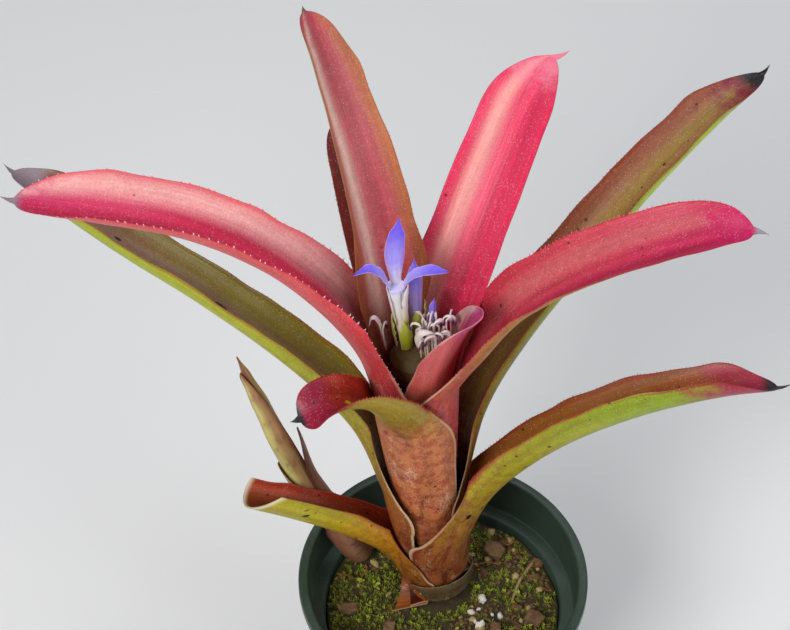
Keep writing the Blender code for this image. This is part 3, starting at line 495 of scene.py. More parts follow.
# ---------------------------------------------------------------- shared finishes
def leaf_pattern() -> bpy.types.NodeTree:
    """Colour, roughness and relief of a leaf, read from its "lie" and "flat" attributes."""
    colour, share, spot = "NodeSocketColor", "NodeSocketFloat", "NodeSocketVector"
    names = ("Near", "Middle", "Far", "Margin", "Streak", "Shade", "Throat", "Under Near", "Under Far",
             "Sheath",
             "Mottle", "Edge", "Tip", "Dry", "Spot Colour")
    inputs = {name: (colour, (0.5, 0.5, 0.5, 1.0)) for name in names}
    for name, value in (("Margin Share", 0.5), ("Streak Place", 0.0), ("Streak Width", 0.3),
                        ("Streak Share", 0.5),
                        ("Shade Place", 0.5), ("Shade Width", 0.3), ("Shade Share", 0.5),
                        ("Mottle Share", 0.5),
                        ("Edge Share", 0.5), ("Tip Start", 0.8), ("Dry Start", 0.97), ("Freckles", 0.2),
                        ("Scurf", 0.3)):
        inputs[name] = (share, value)
    for name in ("Spot A", "Spot B", "Spot C"):
        inputs[name] = (spot, (0.0, 0.0, 0.0))
    tree, web, given, result = new_group("leaf_pattern", "ShaderNodeTree", inputs,
                                         {"Colour": colour, "Roughness": share, "Height": share})
    g = given.outputs
    across, station, under = web.split(web.attribute("lie"))
    flat = web.attribute("flat")
    along = web.scaled(flat, (1.0, 0.05, 1.0))
    streaky = web.noise(along, 420.0, 3.0)
    wide = web.noise(along, 130.0, 2.0)
    patchy = web.noise(flat, 150.0, 4.0, 0.6)
    grain = web.noise(flat, 1500.0, 2.0, 0.7)
    bend = web.math("MULTIPLY", web.math("SUBTRACT", patchy, 0.5), 0.30)
    where = web.math("ADD", station, bend)
    reach = web.math("ABSOLUTE", across)
    # Inner face: along the leaf, then its margins, a streak (pale on most leaves) and a dark band. The streak
    # is a painted highlight on the two pink leaves and the upright leaf; on the cut leaf the streak and the
    # dark band are painted shade.
    face = web.mix(web.step(where, 0.05, 0.40), g["Near"], g["Middle"])
    face = web.mix(web.step(where, 0.45, 0.95), face, g["Far"])
    ragged = web.math("ADD", reach, web.math("MULTIPLY", web.math("SUBTRACT", streaky, 0.5), 0.35))
    face = web.mix(web.times(web.step(ragged, 0.45, 0.95), g["Margin Share"]), face, g["Margin"])
    for kind in ("Streak", "Shade"):
        off = web.math("ABSOLUTE", web.math("SUBTRACT", across, g[f"{kind} Place"]))
        off = web.math("ADD", off, web.math("MULTIPLY", web.math("SUBTRACT", wide, 0.5), 0.22))
        mask = web.math("SUBTRACT", 1.0, web.step(off, 0.0, g[f"{kind} Width"]))
        mask = web.times(mask, web.step(where, -0.05, 0.25), g[f"{kind} Share"])
        face = web.mix(mask, face, g[kind])
    # Painted shade: the throat colour darkens the inner face down in the sheath, deep in the rosette.
    face = web.mix(web.math("SUBTRACT", 1.0, web.step(where, -0.15, 0.12)), face, g["Throat"])
    # Outer face: blade and sheath.
    back = web.mix(web.step(where, 0.15, 0.80), g["Under Near"], g["Under Far"])
    back = web.mix(web.math("SUBTRACT", 1.0, web.step(where, -0.10, 0.30)), back, g["Sheath"])
    outside = web.step(under, 0.4, 0.6)
    skin = web.mix(outside, face, back)
    # Mottling, which is strongest on the outside of the sheath.
    low = web.math("SUBTRACT", 1.0, web.step(where, 0.0, 0.5))
    weight = web.math("ADD", 0.25, web.times(outside, low, 0.75))
    blotch = web.step(web.noise(flat, 330.0, 5.0, 0.65, 0.4), 0.44, 0.60)
    skin = web.mix(web.times(blotch, weight, g["Mottle Share"]), skin, g["Mottle"])
    stain = web.step(web.noise(web.scaled(flat, (1.0, 0.45, 1.0)), 140.0, 5.0, 0.7, 0.6), 0.52, 0.68)
    skin = web.mix(web.times(stain, outside, low, 0.62), skin, paint(0.42, 0.13, 0.13))
    silver = web.step(web.noise(web.scaled(flat, (1.0, 0.55, 1.0)), 95.0, 6.0, 0.75, 0.3), 0.53, 0.66)
    silver = web.times(silver, web.step(grain, 0.35, 0.65), outside, low, 0.60)
    skin = web.mix(silver, skin, paint(0.88, 0.82, 0.74))
    # Fine lengthways streaks and grain.
    lines = web.math("ADD", 0.66, web.math("MULTIPLY", streaky, 0.68))
    specks = web.math("ADD", 0.70, web.math("MULTIPLY", grain, 0.60))
    bands = web.math("ADD", 0.78, web.math("MULTIPLY", wide, 0.44))
    tone = web.times(lines, specks, bands)
    skin = web.mix(1.0, skin, web.join(tone, tone, tone), "MULTIPLY")
    # Tip, dry end, edge line.
    skin = web.mix(web.step(where, g["Tip Start"], web.math("ADD", g["Tip Start"], 0.16)), skin, g["Tip"])
    line = web.times(web.step(ragged, 0.90, 1.05), g["Edge Share"])
    skin = web.mix(line, skin, g["Edge"])
    paper = web.times(web.step(reach, 0.940, 0.975), web.math("SUBTRACT", 1.0, web.step(where, 0.0, 0.22)),
                      0.75)
    skin = web.mix(paper, skin, paint(0.90, 0.82, 0.68))
    skin = web.mix(web.step(station, g["Dry Start"], web.math("ADD", g["Dry Start"], 0.03)), skin, g["Dry"])
    # Freckles: a few cells carry a small dark dot.
    gap, tint = web.cells(flat, 300.0)
    chance, size, _ = web.split(tint)
    dot = web.math("SUBTRACT", 1.0, web.step(gap, web.times(size, 0.14),
                                             web.math("ADD", web.times(size, 0.14), 0.10)))
    dot = web.times(dot, web.math("GREATER_THAN", chance, web.math("SUBTRACT", 1.0, g["Freckles"])), 0.75)
    skin = web.mix(dot, skin, paint(0.26, 0.05, 0.08))
    for name in ("Spot A", "Spot B", "Spot C"):
        sx, sy, size = web.split(g[name])
        dx = web.times(web.math("SUBTRACT", across, sx), 0.013)
        dy = web.times(web.math("SUBTRACT", station, sy), 0.075)
        far = web.math("SQRT", web.math("ADD", web.times(dx, dx), web.times(dy, dy)))
        far = web.math("ADD", far, web.times(web.math("SUBTRACT", patchy, 0.5), 0.001))
        mask = web.math("SUBTRACT", 1.0, web.step(far, web.times(size, 0.7), web.math("ADD", size, 0.00001)))
        skin = web.mix(web.times(mask, web.math("GREATER_THAN", size, 0.0)), skin, g["Spot Colour"])
    # Scurf: tiny pale scales, thicker in soft bands.
    gap, tint = web.cells(flat, 1900.0)
    chance, _, _ = web.split(tint)
    bands = web.step(web.noise(web.scaled(flat, (0.35, 1.0, 1.0)), 260.0, 3.0), 0.40, 0.68)
    amount = web.times(web.math("ADD", 0.30, bands), g["Scurf"])
    scale = web.math("SUBTRACT", 1.0, web.step(gap, 0.15, 0.42))
    scale = web.times(scale, web.math("LESS_THAN", chance, amount))
    skin = web.mix(web.times(scale, 0.42), skin, paint(0.93, 0.88, 0.84))
    rough = web.math("ADD", 0.34, web.math("MULTIPLY", grain, 0.16))
    rough = web.math("ADD", rough, web.math("MULTIPLY", scale, 0.20))
    veins = web.noise(web.scaled(flat, (1.0, 0.02, 1.0)), 1100.0, 2.0)
    rise = web.math("ADD", web.times(veins, 0.7), web.times(grain, 0.35))
    rise = web.math("ADD", rise, web.times(patchy, 0.8))
    rise = web.math("ADD", rise, web.times(scale, 0.25))
    skin = web.node("ShaderNodeGamma", {"Color": skin, "Gamma": LEAF_DEPTH}).outputs[0]
    web.feed(result.inputs["Colour"], skin)
    web.feed(result.inputs["Roughness"], rough)
    web.feed(result.inputs["Height"], rise)
    return tree


def wear_pattern() -> bpy.types.NodeTree:
    """Dust, scuffs and grain over a plain colour, from Object coordinates."""
    colour, share = "NodeSocketColor", "NodeSocketFloat"
    inputs = {"Base": (colour, (0.5, 0.5, 0.5, 1.0)), "Second": (colour, (0.4, 0.4, 0.4, 1.0)),
              "Dust": (colour, (0.6, 0.6, 0.5, 1.0)), "Scale": (share, 60.0), "Patch Share": (share, 0.5),
              "Dust Share": (share, 0.3), "Grain Scale": (share, 900.0), "Roughness": (share, 0.5)}
    tree, web, given, result = new_group("wear_pattern", "ShaderNodeTree", inputs,
                                         {"Colour": colour, "Roughness": share, "Height": share})
    g = given.outputs
    place = web.place()
    broad = web.noise(place, 1.0, 5.0, 0.6, 0.3)
    web.feed(broad.node.inputs["Scale"], g["Scale"])
    fine = web.noise(place, 1.0, 3.0, 0.65)
    web.feed(fine.node.inputs["Scale"], g["Grain Scale"])
    skin = web.mix(web.times(web.step(broad, 0.38, 0.66), g["Patch Share"]), g["Base"], g["Second"])
    tone = web.math("ADD", 0.80, web.times(fine, 0.40))
    skin = web.mix(1.0, skin, web.join(tone, tone, tone), "MULTIPLY")
    lying = web.step(web.math("ADD", broad, web.times(web.math("SUBTRACT", fine, 0.5), 0.8)), 0.52, 0.74)
    skin = web.mix(web.times(lying, g["Dust Share"]), skin, g["Dust"])
    rough = web.math("ADD", g["Roughness"], web.times(web.math("SUBTRACT", fine, 0.5), 0.25))
    rough = web.math("ADD", rough, web.times(lying, g["Dust Share"], 0.3), clamp=True)
    web.feed(result.inputs["Colour"], skin)
    web.feed(result.inputs["Roughness"], rough)
    web.feed(result.inputs["Height"], web.math("ADD", web.times(fine, 0.6), web.times(broad, 0.6)))
    return tree


@dataclass(frozen=True)
class WornFinish:
    """A finish with patches, dust and grain over a plain colour."""

    name: str
    base: Colour
    second: Colour
    dust: Colour
    scale: float = 60.0
    patch_share: float = 0.5
    dust_share: float = 0.3
    grain_scale: float = 900.0
    roughness: float = 0.6
    relief: float = 0.0002

    def material(self, pattern: bpy.types.NodeTree) -> bpy.types.Material:
        """The finish as a material.

        Args:
            pattern: The shared wear pattern.

        Returns:
            A new material.
        """
        material, web, shader = new_material(self.name)
        group = web.node("ShaderNodeGroup", node_tree=pattern)
        for label, value in (("Base", self.base), ("Second", self.second), ("Dust", self.dust),
                             ("Scale", self.scale), ("Patch Share", self.patch_share),
                             ("Dust Share", self.dust_share), ("Grain Scale", self.grain_scale),
                             ("Roughness", self.roughness)):
            group.inputs[label].default_value = value
        web.feed(shader.inputs["Base Color"], group.outputs["Colour"])
        web.feed(shader.inputs["Roughness"], group.outputs["Roughness"])
        web.feed(shader.inputs["Normal"], web.height(group.outputs["Height"], self.relief))
        return material


@dataclass(frozen=True)
class LeafSkin:
    """Colours and marks of one leaf.

    Places across run from -1 (clockwise margin) to 1, stations from -1 to 1.
    """

    near: Colour
    middle: Colour
    far: Colour
    margin: Colour
    # The streak is a painted highlight on some leaves and painted shade on the cut leaf.
    streak: Colour
    shade: Colour
    # Throat: painted shade on the inner face of the sheath.
    throat: Colour
    under_near: Colour
    under_far: Colour
    sheath: Colour
    mottle: Colour
    edge: Colour
    tip: Colour
    dry: Colour = paint(0.30, 0.27, 0.28)
    margin_share: float = 0.5
    streak_place: float = 0.0
    streak_width: float = 0.3
    streak_share: float = 0.5
    shade_place: float = 0.5
    shade_width: float = 0.3
    shade_share: float = 0.4
    mottle_share: float = 0.5
    edge_share: float = 0.5
    tip_start: float = 0.85
    dry_start: float = 0.985
    freckles: float = 0.10
    scurf: float = 0.35
    spot_colour: Colour = paint(0.16, 0.05, 0.06)
    spots: tuple[Point, ...] = ()
    tooth: Colour = paint(0.86, 0.62, 0.56)

    def material(self, name: str, pattern: bpy.types.NodeTree) -> bpy.types.Material:
        """The skin as a material.

        Args:
            name: Material name.
            pattern: The shared leaf pattern.

        Returns:
            A new material.
        """
        material, web, shader = new_material(name)
        group = web.node("ShaderNodeGroup", node_tree=pattern)
        plain = ("near", "middle", "far", "margin", "streak", "shade", "throat", "under_near", "under_far",
                 "sheath",
                 "mottle", "edge", "tip", "dry", "margin_share", "streak_place", "streak_width",
                 "streak_share",
                 "shade_place", "shade_width", "shade_share", "mottle_share", "edge_share", "tip_start",
                 "dry_start",
                 "freckles", "scurf", "spot_colour")
        for label in plain:
            group.inputs[label.replace("_", " ").title()].default_value = getattr(self, label)
        for label, spot in zip(("Spot A", "Spot B", "Spot C"), self.spots):
            group.inputs[label].default_value = spot
        web.feed(shader.inputs["Base Color"], group.outputs["Colour"])
        web.feed(shader.inputs["Roughness"], group.outputs["Roughness"])
        web.feed(shader.inputs["Normal"], web.height(group.outputs["Height"], 0.00022))
        set_shader(shader, specular_ior_level=0.45)
        return material

    def tooth_material(self, name: str) -> bpy.types.Material:
        """The finish of the leaf's marginal teeth: leaf-coloured at the foot, paler at the point.

        Args:
            name: Material name.

        Returns:
            A new material.
        """
        material, web, shader = new_material(name)
        rise, _, _ = web.split(web.attribute("rise"))
        speck = web.noise(web.place(), 2200.0, 2.0)
        share = web.step(web.math("ADD", rise, web.times(web.math("SUBTRACT", speck, 0.5), 0.3)), 0.15, 0.75)
        web.feed(shader.inputs["Base Color"], web.mix(share, self.edge, self.tooth))
        web.feed(shader.inputs["Roughness"], web.math("ADD", 0.35, web.times(speck, 0.25)))
        return material


# ---------------------------------------------------------------- repeated shapes
def teeth_tree() -> bpy.types.NodeTree:
    """Hooked teeth on the points of a margin, which carry their outward and forward directions."""
    number, whole = "NodeSocketFloat", "NodeSocketInt"
    inputs = {"Geometry": ("NodeSocketGeometry", None), "Length": (number, 0.0009), "Width": (number, 0.0004),
              "Hook": (number, 0.5), "Vary": (number, 0.3), "Seed": (whole, 0),
              "Material": ("NodeSocketMaterial", None)}
    tree, web, given, result = new_group("margin_teeth", "GeometryNodeTree", inputs,
                                         {"Geometry": "NodeSocketGeometry"})
    g = given.outputs
    cone = web.node("GeometryNodeMeshCone", {"Vertices": 5, "Side Segments": 3, "Radius Top": 0.00002,
                                             "Radius Bottom": g["Width"], "Depth": g["Length"]})
    _, _, z = web.split(web.node("GeometryNodeInputPosition").outputs[0])
    rise = web.math("DIVIDE", z, g["Length"])
    lean = web.times(rise, rise, g["Length"], g["Hook"])
    bent = web.node("GeometryNodeSetPosition", {"Geometry": cone.outputs["Mesh"],
                                                "Offset": web.join(lean, 0.0, 0.0)})
    kept = web.node("GeometryNodeStoreNamedAttribute", {"Geometry": bent.outputs[0], "Name": "rise",
                                                        "Value": web.join(rise, 0.0, 0.0)},
                    data_type="FLOAT_VECTOR")
    thin = web.node("GeometryNodeTransform", {"Geometry": kept.outputs[0], "Scale": (1.0, 0.55, 1.0)})
    outward = web.node("GeometryNodeInputNamedAttribute", {"Name": "outward"}, data_type="FLOAT_VECTOR")
    forward = web.node("GeometryNodeInputNamedAttribute", {"Name": "forward"}, data_type="FLOAT_VECTOR")
    turn = web.node("FunctionNodeAxesToRotation", {0: outward.outputs[0], 1: forward.outputs[0]},
                    primary_axis="Z", secondary_axis="X")
    size = web.node("FunctionNodeRandomValue", {"Min_001": web.math("SUBTRACT", 1.0, g["Vary"]),
                                                "Max_001": web.math("ADD", 1.0, g["Vary"]),
                                                "Seed": g["Seed"]},
                    data_type="FLOAT")
    extent, _, _ = web.split(web.node("GeometryNodeInputNamedAttribute", {"Name": "extent"},
                                      data_type="FLOAT_VECTOR").outputs[0])
    scale = web.times(size.outputs[1], extent)
    placed = web.node("GeometryNodeInstanceOnPoints", {"Points": g["Geometry"], "Instance": thin.outputs[0],
                                                       "Rotation": turn.outputs[0],
                                                       "Scale": web.join(scale, scale, scale)})
    real = web.node("GeometryNodeRealizeInstances", {"Geometry": placed.outputs[0]})
    dressed = web.node("GeometryNodeSetMaterial", {"Geometry": real.outputs[0], "Material": g["Material"]})
    web.feed(result.inputs[0], dressed.outputs[0])
    return tree


def run_tree(name: str, mesh: bpy.types.Mesh, tree: bpy.types.NodeTree,
             values: dict[str, object]) -> bpy.types.Object:
    """Run a geometry tree on a mesh and keep the result as a plain piece.

    Args:
        name: Piece name.
        mesh: The mesh that the tree starts from.
        tree: The geometry tree.
        values: Its inputs by name.

    Returns:
        The new object, at the origin.
    """
    piece = bpy.data.objects.new(name, mesh)
    bpy.context.scene.collection.objects.link(piece)
    modifier = piece.modifiers.new("nodes", "NODES")
    modifier.node_group = tree
    for item in tree.interface.items_tree:
        if item.item_type == "SOCKET" and item.in_out == "INPUT" and item.name in values:
            modifier[item.identifier] = values[item.name]
    baked(piece)
    piece.data.shade_smooth()
    piece.data.set_sharp_from_angle(angle=math.radians(55))
    return piece


# ---------------------------------------------------------------- rosette
@dataclass(frozen=True)
class Crown:
    """The rosette's own frame and the nest of sheaths about its axis."""

    x: float = -0.002
    y: float = 0.011
    z: float = 0.070
    lean: float = -3.9
    stem_top: float = 0.072
    stem_foot_radius: float = 0.0064
    stem_top_radius: float = 0.0046
    wall: float = 0.0006
    gap: float = 0.00045
    flare: float = 0.006
    envelope: Pairs = ((-0.006, 0.0102), (0.0, 0.0106), (0.020, 0.0130), (0.050, 0.0160), (0.080, 0.0182),
                       (0.110, 0.0203), (0.135, 0.0225), (0.175, 0.0270))

    def layer_radius(self, layer: int, foot: float, height: np.ndarray | float) -> np.ndarray:
        """Inner radius of a sheath at a height: from the stem at its foot out to its own layer.

        Args:
            layer: Layer number, 0 outermost.
            foot: Height of the leaf's foot.
            height: Heights to read.

        Returns:
            Radii.
        """
        share = np.clip(np.asarray(height, float) / self.stem_top, 0.0, 1.0)
        stem = self.stem_foot_radius * (1.0 - share) + self.stem_top_radius * share + self.gap
        heights, radii = zip(*self.envelope)
        full = np.interp(height, heights, radii) - layer * (self.wall + self.gap)
        open_share = smooth_step((np.asarray(height, float) - foot) / self.flare)
        return stem * (1.0 - open_share) + full * open_share

    def matrix(self) -> np.ndarray:
        """The frame's placement as a 4 by 4 matrix."""
        move = Matrix.Translation((self.x, self.y, self.z))
        return np.array(move @ Matrix.Rotation(math.radians(self.lean), 4, "Y"))

    def to_model(self, points: np.ndarray) -> np.ndarray:
        """Points from this frame in the model's frame."""
        matrix = self.matrix()
        return np.asarray(points, float) @ matrix[:3, :3].T + matrix[:3, 3]


# Stations below LEVEL_END - LEVEL_SPAN have level sections, as has the foot's flare, in shares of its height.
LEVEL_END = -0.25
LEVEL_SPAN = 0.25
FLARE_LEVEL = 1.45
FLARE_FADE = 0.45


@dataclass(frozen=True)
class Leaf:
    """One leaf in the rosette's frame.

    The ridge runs (out, side, up) from the sheath's top to the tip. Stations run from -1 at the foot
    through 0 at the sheath's top to 1 at the tip. Sides give the share of the half width that the sheath
    top has on its clockwise and anticlockwise sides.
    """

    name: str
    azimuth: float
    layer: int
    foot: float
    sheath_top: float
    ridge: tuple[Point, ...]
    half_width: Pairs
    channel: Pairs
    skin: LeafSkin
    roll: Pairs = ((0.0, 0.0), (1.0, 0.0))
    tip_start: float = 0.86
    tip_power: float = 2.0
    sides: tuple[float, float] = (1.0, 1.0)
    skew: float = 0.0
    mucro: float = 0.0035
    mucro_width: float = 0.0008
    mucro_bend: Point = (0.0, 0.0, 0.3)
    recess: tuple[float, float] = (0.0, 0.0)
    wave: float = 0.0004
    tooth_length: float = 0.0008
    tooth_gap: float = 0.0018
    blade_wall: float = 0.00080
    spans_across: int = 30
    spans_along: int = 120

    def rows(self, crown: Crown) -> tuple[np.ndarray, np.ndarray, np.ndarray]:
        """Ridge points at fine steps.

        Args:
            crown: The rosette's frame.

        Returns:
            Points (out, side, up), their stations, and their distances along the leaf.
        """
        heights = [self.foot, self.foot + crown.flare / 2, self.foot + crown.flare]
        heights += list(np.linspace(self.foot + crown.flare, self.sheath_top, 4)[1:])
        points = [(float(crown.layer_radius(self.layer, self.foot, h)), 0.0,
                   h) for h in heights] + list(self.ridge)
        dense = np.linspace(0.0, 1.0, 200)
        ridge, length = spline(points, dense)
        sheath_end = float(np.interp(self.sheath_top, np.maximum.accumulate(ridge[:, 2]), dense))
        flare_end = crown.flare * 1.35 / length
        blade = 1.0 - (1.0 - np.linspace(0.0, 1.0, self.spans_along * 3 // 4 + 1)[1:]) ** 1.35
        fractions = np.r_[np.linspace(0.0, flare_end, 8)[:-1],
                          np.linspace(flare_end, sheath_end, self.spans_along // 4),
                          sheath_end + (1.0 - sheath_end) * blade]
        ridge, length = spline(points, fractions)
        station = np.where(fractions < sheath_end, fractions / sheath_end - 1.0,
                           (fractions - sheath_end) / (1.0 - sheath_end))
        return ridge, station, fractions * length

    def surface(self, crown: Crown) -> dict[str, np.ndarray]:
        """Inner and outer faces of the leaf.

        Args:
            crown: The rosette's frame.

        Returns:
            Arrays "inner", "outer", "lie" and "flat", with rows along the leaf and columns across it.
        """
        ridge, station, along = self.rows(crown)
        turn = math.radians(self.azimuth)
        out = np.array([math.cos(turn), math.sin(turn), 0.0])
        side = np.array([-math.sin(turn), math.cos(turn), 0.0])
        centres = ridge[:, :1] * out + ridge[:, 1:2] * side + ridge[:, 2:] * np.array([0.0, 0.0, 1.0])
        _, across, normal = frames_along(centres, side)
        roll = np.radians(eased(self.roll, np.maximum(station, 0.0)))[:, None]
        across, normal = (across * np.cos(roll) + normal * np.sin(roll),
                          normal * np.cos(roll) - across * np.sin(roll))
        in_flare = smooth_step((self.foot + crown.flare * FLARE_LEVEL - ridge[:,
            2]) / (crown.flare * FLARE_FADE))
        level = np.maximum(smooth_step((LEVEL_END - station) / LEVEL_SPAN), in_flare)[:, None]
        normal = unit(normal * (1.0 - level) - out * level)
        half_width = eased(self.half_width, station)
        full_width = half_width.copy()
        if self.tip_start < 1.0:
            rounding = np.clip((station - self.tip_start) / (1.0 - self.tip_start), 0.0, 1.0)
            narrow = np.sqrt(1.0 - rounding**self.tip_power)
            near_point = smooth_step((rounding - 0.55) / 0.45)
            half_width = np.maximum(half_width * narrow, self.mucro_width * near_point + 0.0004)
            centres = centres + across * (self.skew * full_width * (1.0 - narrow))[:, None]
        about_axis = smooth_step((0.18 - station) / 0.28)
        sheath_share = smooth_step((0.30 - station) / 0.30) * smooth_step((station + 0.65) / 0.40)
        reach = np.hypot(ridge[:, 0], ridge[:, 1])
        radius = eased(self.channel, station) * (1.0 - about_axis) + reach * about_axis
        if self.tip_start < 1.0 and self.mucro > 0.0:
            extra = np.linspace(0.0, 1.0, 11)[1:]
            bend = (np.array(self.mucro_bend)[0] * out + np.array(self.mucro_bend)[1] * side
                    + np.array([0.0, 0.0, self.mucro_bend[2]]))
            ahead = unit(centres[-1] - centres[-2])
            more = centres[-1] + self.mucro * (extra[:, None] * ahead + extra[:, None] ** 2 * bend)
            centres = np.vstack([centres, more])
            across = np.vstack([across, np.repeat(across[-1:], 10, axis=0)])
            normal = np.vstack([normal, np.repeat(normal[-1:], 10, axis=0)])
            half_width = np.r_[half_width, half_width[-1] * (1.0 - extra) ** 1.25 + 0.00004]
            radius = np.r_[radius, np.repeat(radius[-1], 10)]
            station = np.r_[station, 1.0 + extra * 0.06]
            along = np.r_[along, along[-1] + self.mucro * extra]
            sheath_share = np.r_[sheath_share, np.zeros(10)]
        u = np.linspace(-1.0, 1.0, self.spans_across + 1)
        u = np.sign(u) * (1.0 - (1.0 - np.abs(u)) ** 1.15)
        shares = [1.0 - sheath_share * (1.0 - share) for share in self.sides]
        spread = np.where(u[None] < 0.0, u[None] * shares[0][:, None], u[None] * shares[1][:, None])
        angle = (half_width / radius)[:, None] * spread
        sideways = radius[:, None] * np.sin(angle)
        inward = radius[:, None] * (1.0 - np.cos(angle))
        rng = random.Random(self.name)
        phases = [rng.uniform(0.0, 40.0) for _ in range(2)]
        ripple = np.array([[noise.noise(Vector((a * 95.0 + phases[k], k * 7.3, 1.7))) for k in (0,
            1)] for a in along])
        swell = self.wave * smooth_step((station - 0.08) / 0.30) * np.clip(half_width / 0.006, 0.0, 1.0)
        ripple = np.where(u[None] < 0.0, ripple[:, :1], ripple[:, 1:]) * np.abs(u[None]) ** 3.0
        inward = inward + 2.0 * swell[:, None] * ripple
        grid = centres[:, None] + across[:, None] * sideways[..., None] + normal[:, None] * inward[..., None]
        if max(self.recess) > 0.0:
            grid = self.cut_end(grid, u)
        from_axis = np.hypot(grid[..., 0], grid[..., 1])
        least = crown.layer_radius(self.layer, self.foot, grid[..., 2])
        grid[..., :2] *= (np.maximum(from_axis, least) / np.maximum(from_axis, 1e-6))[..., None]
        face = unit(np.cross(np.gradient(grid, axis=0), np.gradient(grid, axis=1)))
        wall = crown.wall + (self.blade_wall - crown.wall) * smooth_step((station - 0.05) / 0.25)
        wall = wall * (1.0 - 0.35 * smooth_step((station - 0.5) / 0.5))
        wall = np.minimum(wall, half_width * 0.7)
        depth = wall[:, None] * (1.0 - 0.55 * np.abs(u[None]) ** 2.5)
        shape = grid.shape[:2]
        lie = np.stack([np.broadcast_to(u[None], shape), np.broadcast_to(station[:, None], shape),
                        np.zeros(shape)], axis=2)
        flat = np.stack([half_width[:, None] * spread, np.broadcast_to(along[:, None], shape),
                         np.zeros(shape)], axis=2)
        return {"inner": crown.to_model(grid), "outer": crown.to_model(grid - face * depth[..., None]),
                "lie": lie, "flat": flat + np.array([rng.uniform(0.0, 3.0), rng.uniform(0.0, 3.0), 0.0])}

    def cut_end(self, grid: np.ndarray, u: np.ndarray) -> np.ndarray:
        """Slope the end of a cut leaf back from its keel.

        Args:
            grid: Rows along the leaf, columns across it.
            u: Place across of each column.

        Returns:
            The grid with its end cut back on each side by the recess shares.
        """
        rows = grid.shape[0]
        steps = np.linspace(0.0, 1.0, rows)
        result = grid.copy()
        for j, place in enumerate(u):
            back = (self.recess[0] if place < 0.0 else self.recess[1]) * abs(place) ** 1.25
            at = steps - back * smooth_step((steps - 0.45) / 0.55)
            for k in range(3):
                result[:, j, k] = np.interp(at, steps, grid[:, j, k])
        return result

    def build(self, crown: Crown, pattern: bpy.types.NodeTree, teeth: bpy.types.NodeTree) -> None:
        """Make the leaf and its marginal teeth.

        Args:
            crown: The rosette's frame.
            pattern: The shared leaf pattern.
            teeth: The shared tree that places teeth.
        """
        faces = self.surface(crown)
        vertices, polygons, vectors = closed_sheet(faces["inner"], faces["outer"], faces["lie"],
                                                   faces["flat"])
        slot = f"{self.name}_skin"
        piece = mesh_object(self.name + "_blade", vertices, polygons, self.skin.material(slot + "_finish",
                                                                                         pattern),
                            vectors, 70.0)
        settle(piece, slot, self.name)
        if self.tooth_length > 0.0:
            self.build_teeth(faces, teeth, slot)

    def build_teeth(self, faces: dict[str, np.ndarray], tree: bpy.types.NodeTree, slot: str) -> None:
        """Make the teeth along both margins.

        Args:
            faces: The leaf's faces.
            tree: The tree that places teeth.
            slot: Material slot of the leaf.
        """
        rng = random.Random(self.name + "teeth")
        points, outward, forward, extent = [], [], [], []
        middle = (faces["inner"] + faces["outer"]) / 2
        station = faces["lie"][:, 0, 1]
        for column, next_column in ((0, 2), (-1, -3)):
            line = middle[:, column]
            along = np.r_[0.0, np.cumsum(np.linalg.norm(np.diff(line, axis=0), axis=1))]
            first = float(np.interp(-0.35, station, along))
            last = float(np.interp(0.985, station, along))
            away = unit(middle[:, column] - middle[:, next_column])
            ahead = unit(np.gradient(line, axis=0))
            at = first
            while at < last:
                place = at + rng.uniform(-0.25, 0.25) * self.tooth_gap
                share = float(np.interp(place, along, station))
                points.append([np.interp(place, along, line[:, k]) for k in range(3)])
                outward.append([np.interp(place, along, away[:, k]) for k in range(3)])
                forward.append([np.interp(place, along, ahead[:, k]) for k in range(3)])
                size = 0.35 + 0.65 * float(smooth_step((share + 0.3) / 0.6))
                extent.append([size * (1.0 - 0.45 * float(smooth_step((share - 0.7) / 0.3))), 0.0, 0.0])
                at += self.tooth_gap
        mesh = bpy.data.meshes.new(self.name + "_teeth")
        points = np.array(points) - np.array(outward) * 0.00012
        mesh.from_pydata(points.tolist(), [], [])
        for label, rows in (("outward", outward), ("forward", forward), ("extent", extent)):
            layer = mesh.attributes.new(label, "FLOAT_VECTOR", "POINT")
            layer.data.foreach_set("vector", np.asarray(rows, np.float32).ravel())
        piece = run_tree(self.name + "_teeth", mesh, tree, {
            "Length": self.tooth_length, "Width": self.tooth_length * 0.38, "Hook": 0.55, "Vary": 0.30,
            "Seed": self.layer + 3, "Material": self.skin.tooth_material(slot + "_teeth_finish")})
        settle(piece, slot)


# Painted shade: the dark streak down the middle and the dark band stand in for the shade inside the cut
# leaf's channel.
CUT_SKIN = LeafSkin(
    near=paint(0.66, 0.34, 0.16), middle=paint(0.68, 0.38, 0.17), far=paint(0.66, 0.36, 0.16),
    margin=paint(0.74, 0.28, 0.16), streak=paint(0.42, 0.14, 0.10), shade=paint(0.36, 0.10, 0.10),
    throat=paint(0.34, 0.12, 0.10), under_near=paint(0.80, 0.58, 0.17), under_far=paint(0.72, 0.68, 0.15),
    sheath=paint(0.64, 0.40, 0.20), mottle=paint(0.52, 0.26, 0.18), edge=paint(0.66, 0.18, 0.12),
    tip=paint(0.68, 0.70, 0.18), dry=paint(0.93, 0.91, 0.80), margin_share=0.7, streak_share=0.4,
    shade_place=-0.3,
    mottle_share=0.55, tip_start=1.2, dry_start=0.978, freckles=0.30, scurf=0.30,
    spots=((0.62, 0.80, 0.0011), (0.10, -0.25, 0.0026), (0.35, 0.42, 0.0006)), tooth=paint(0.70, 0.30, 0.20))
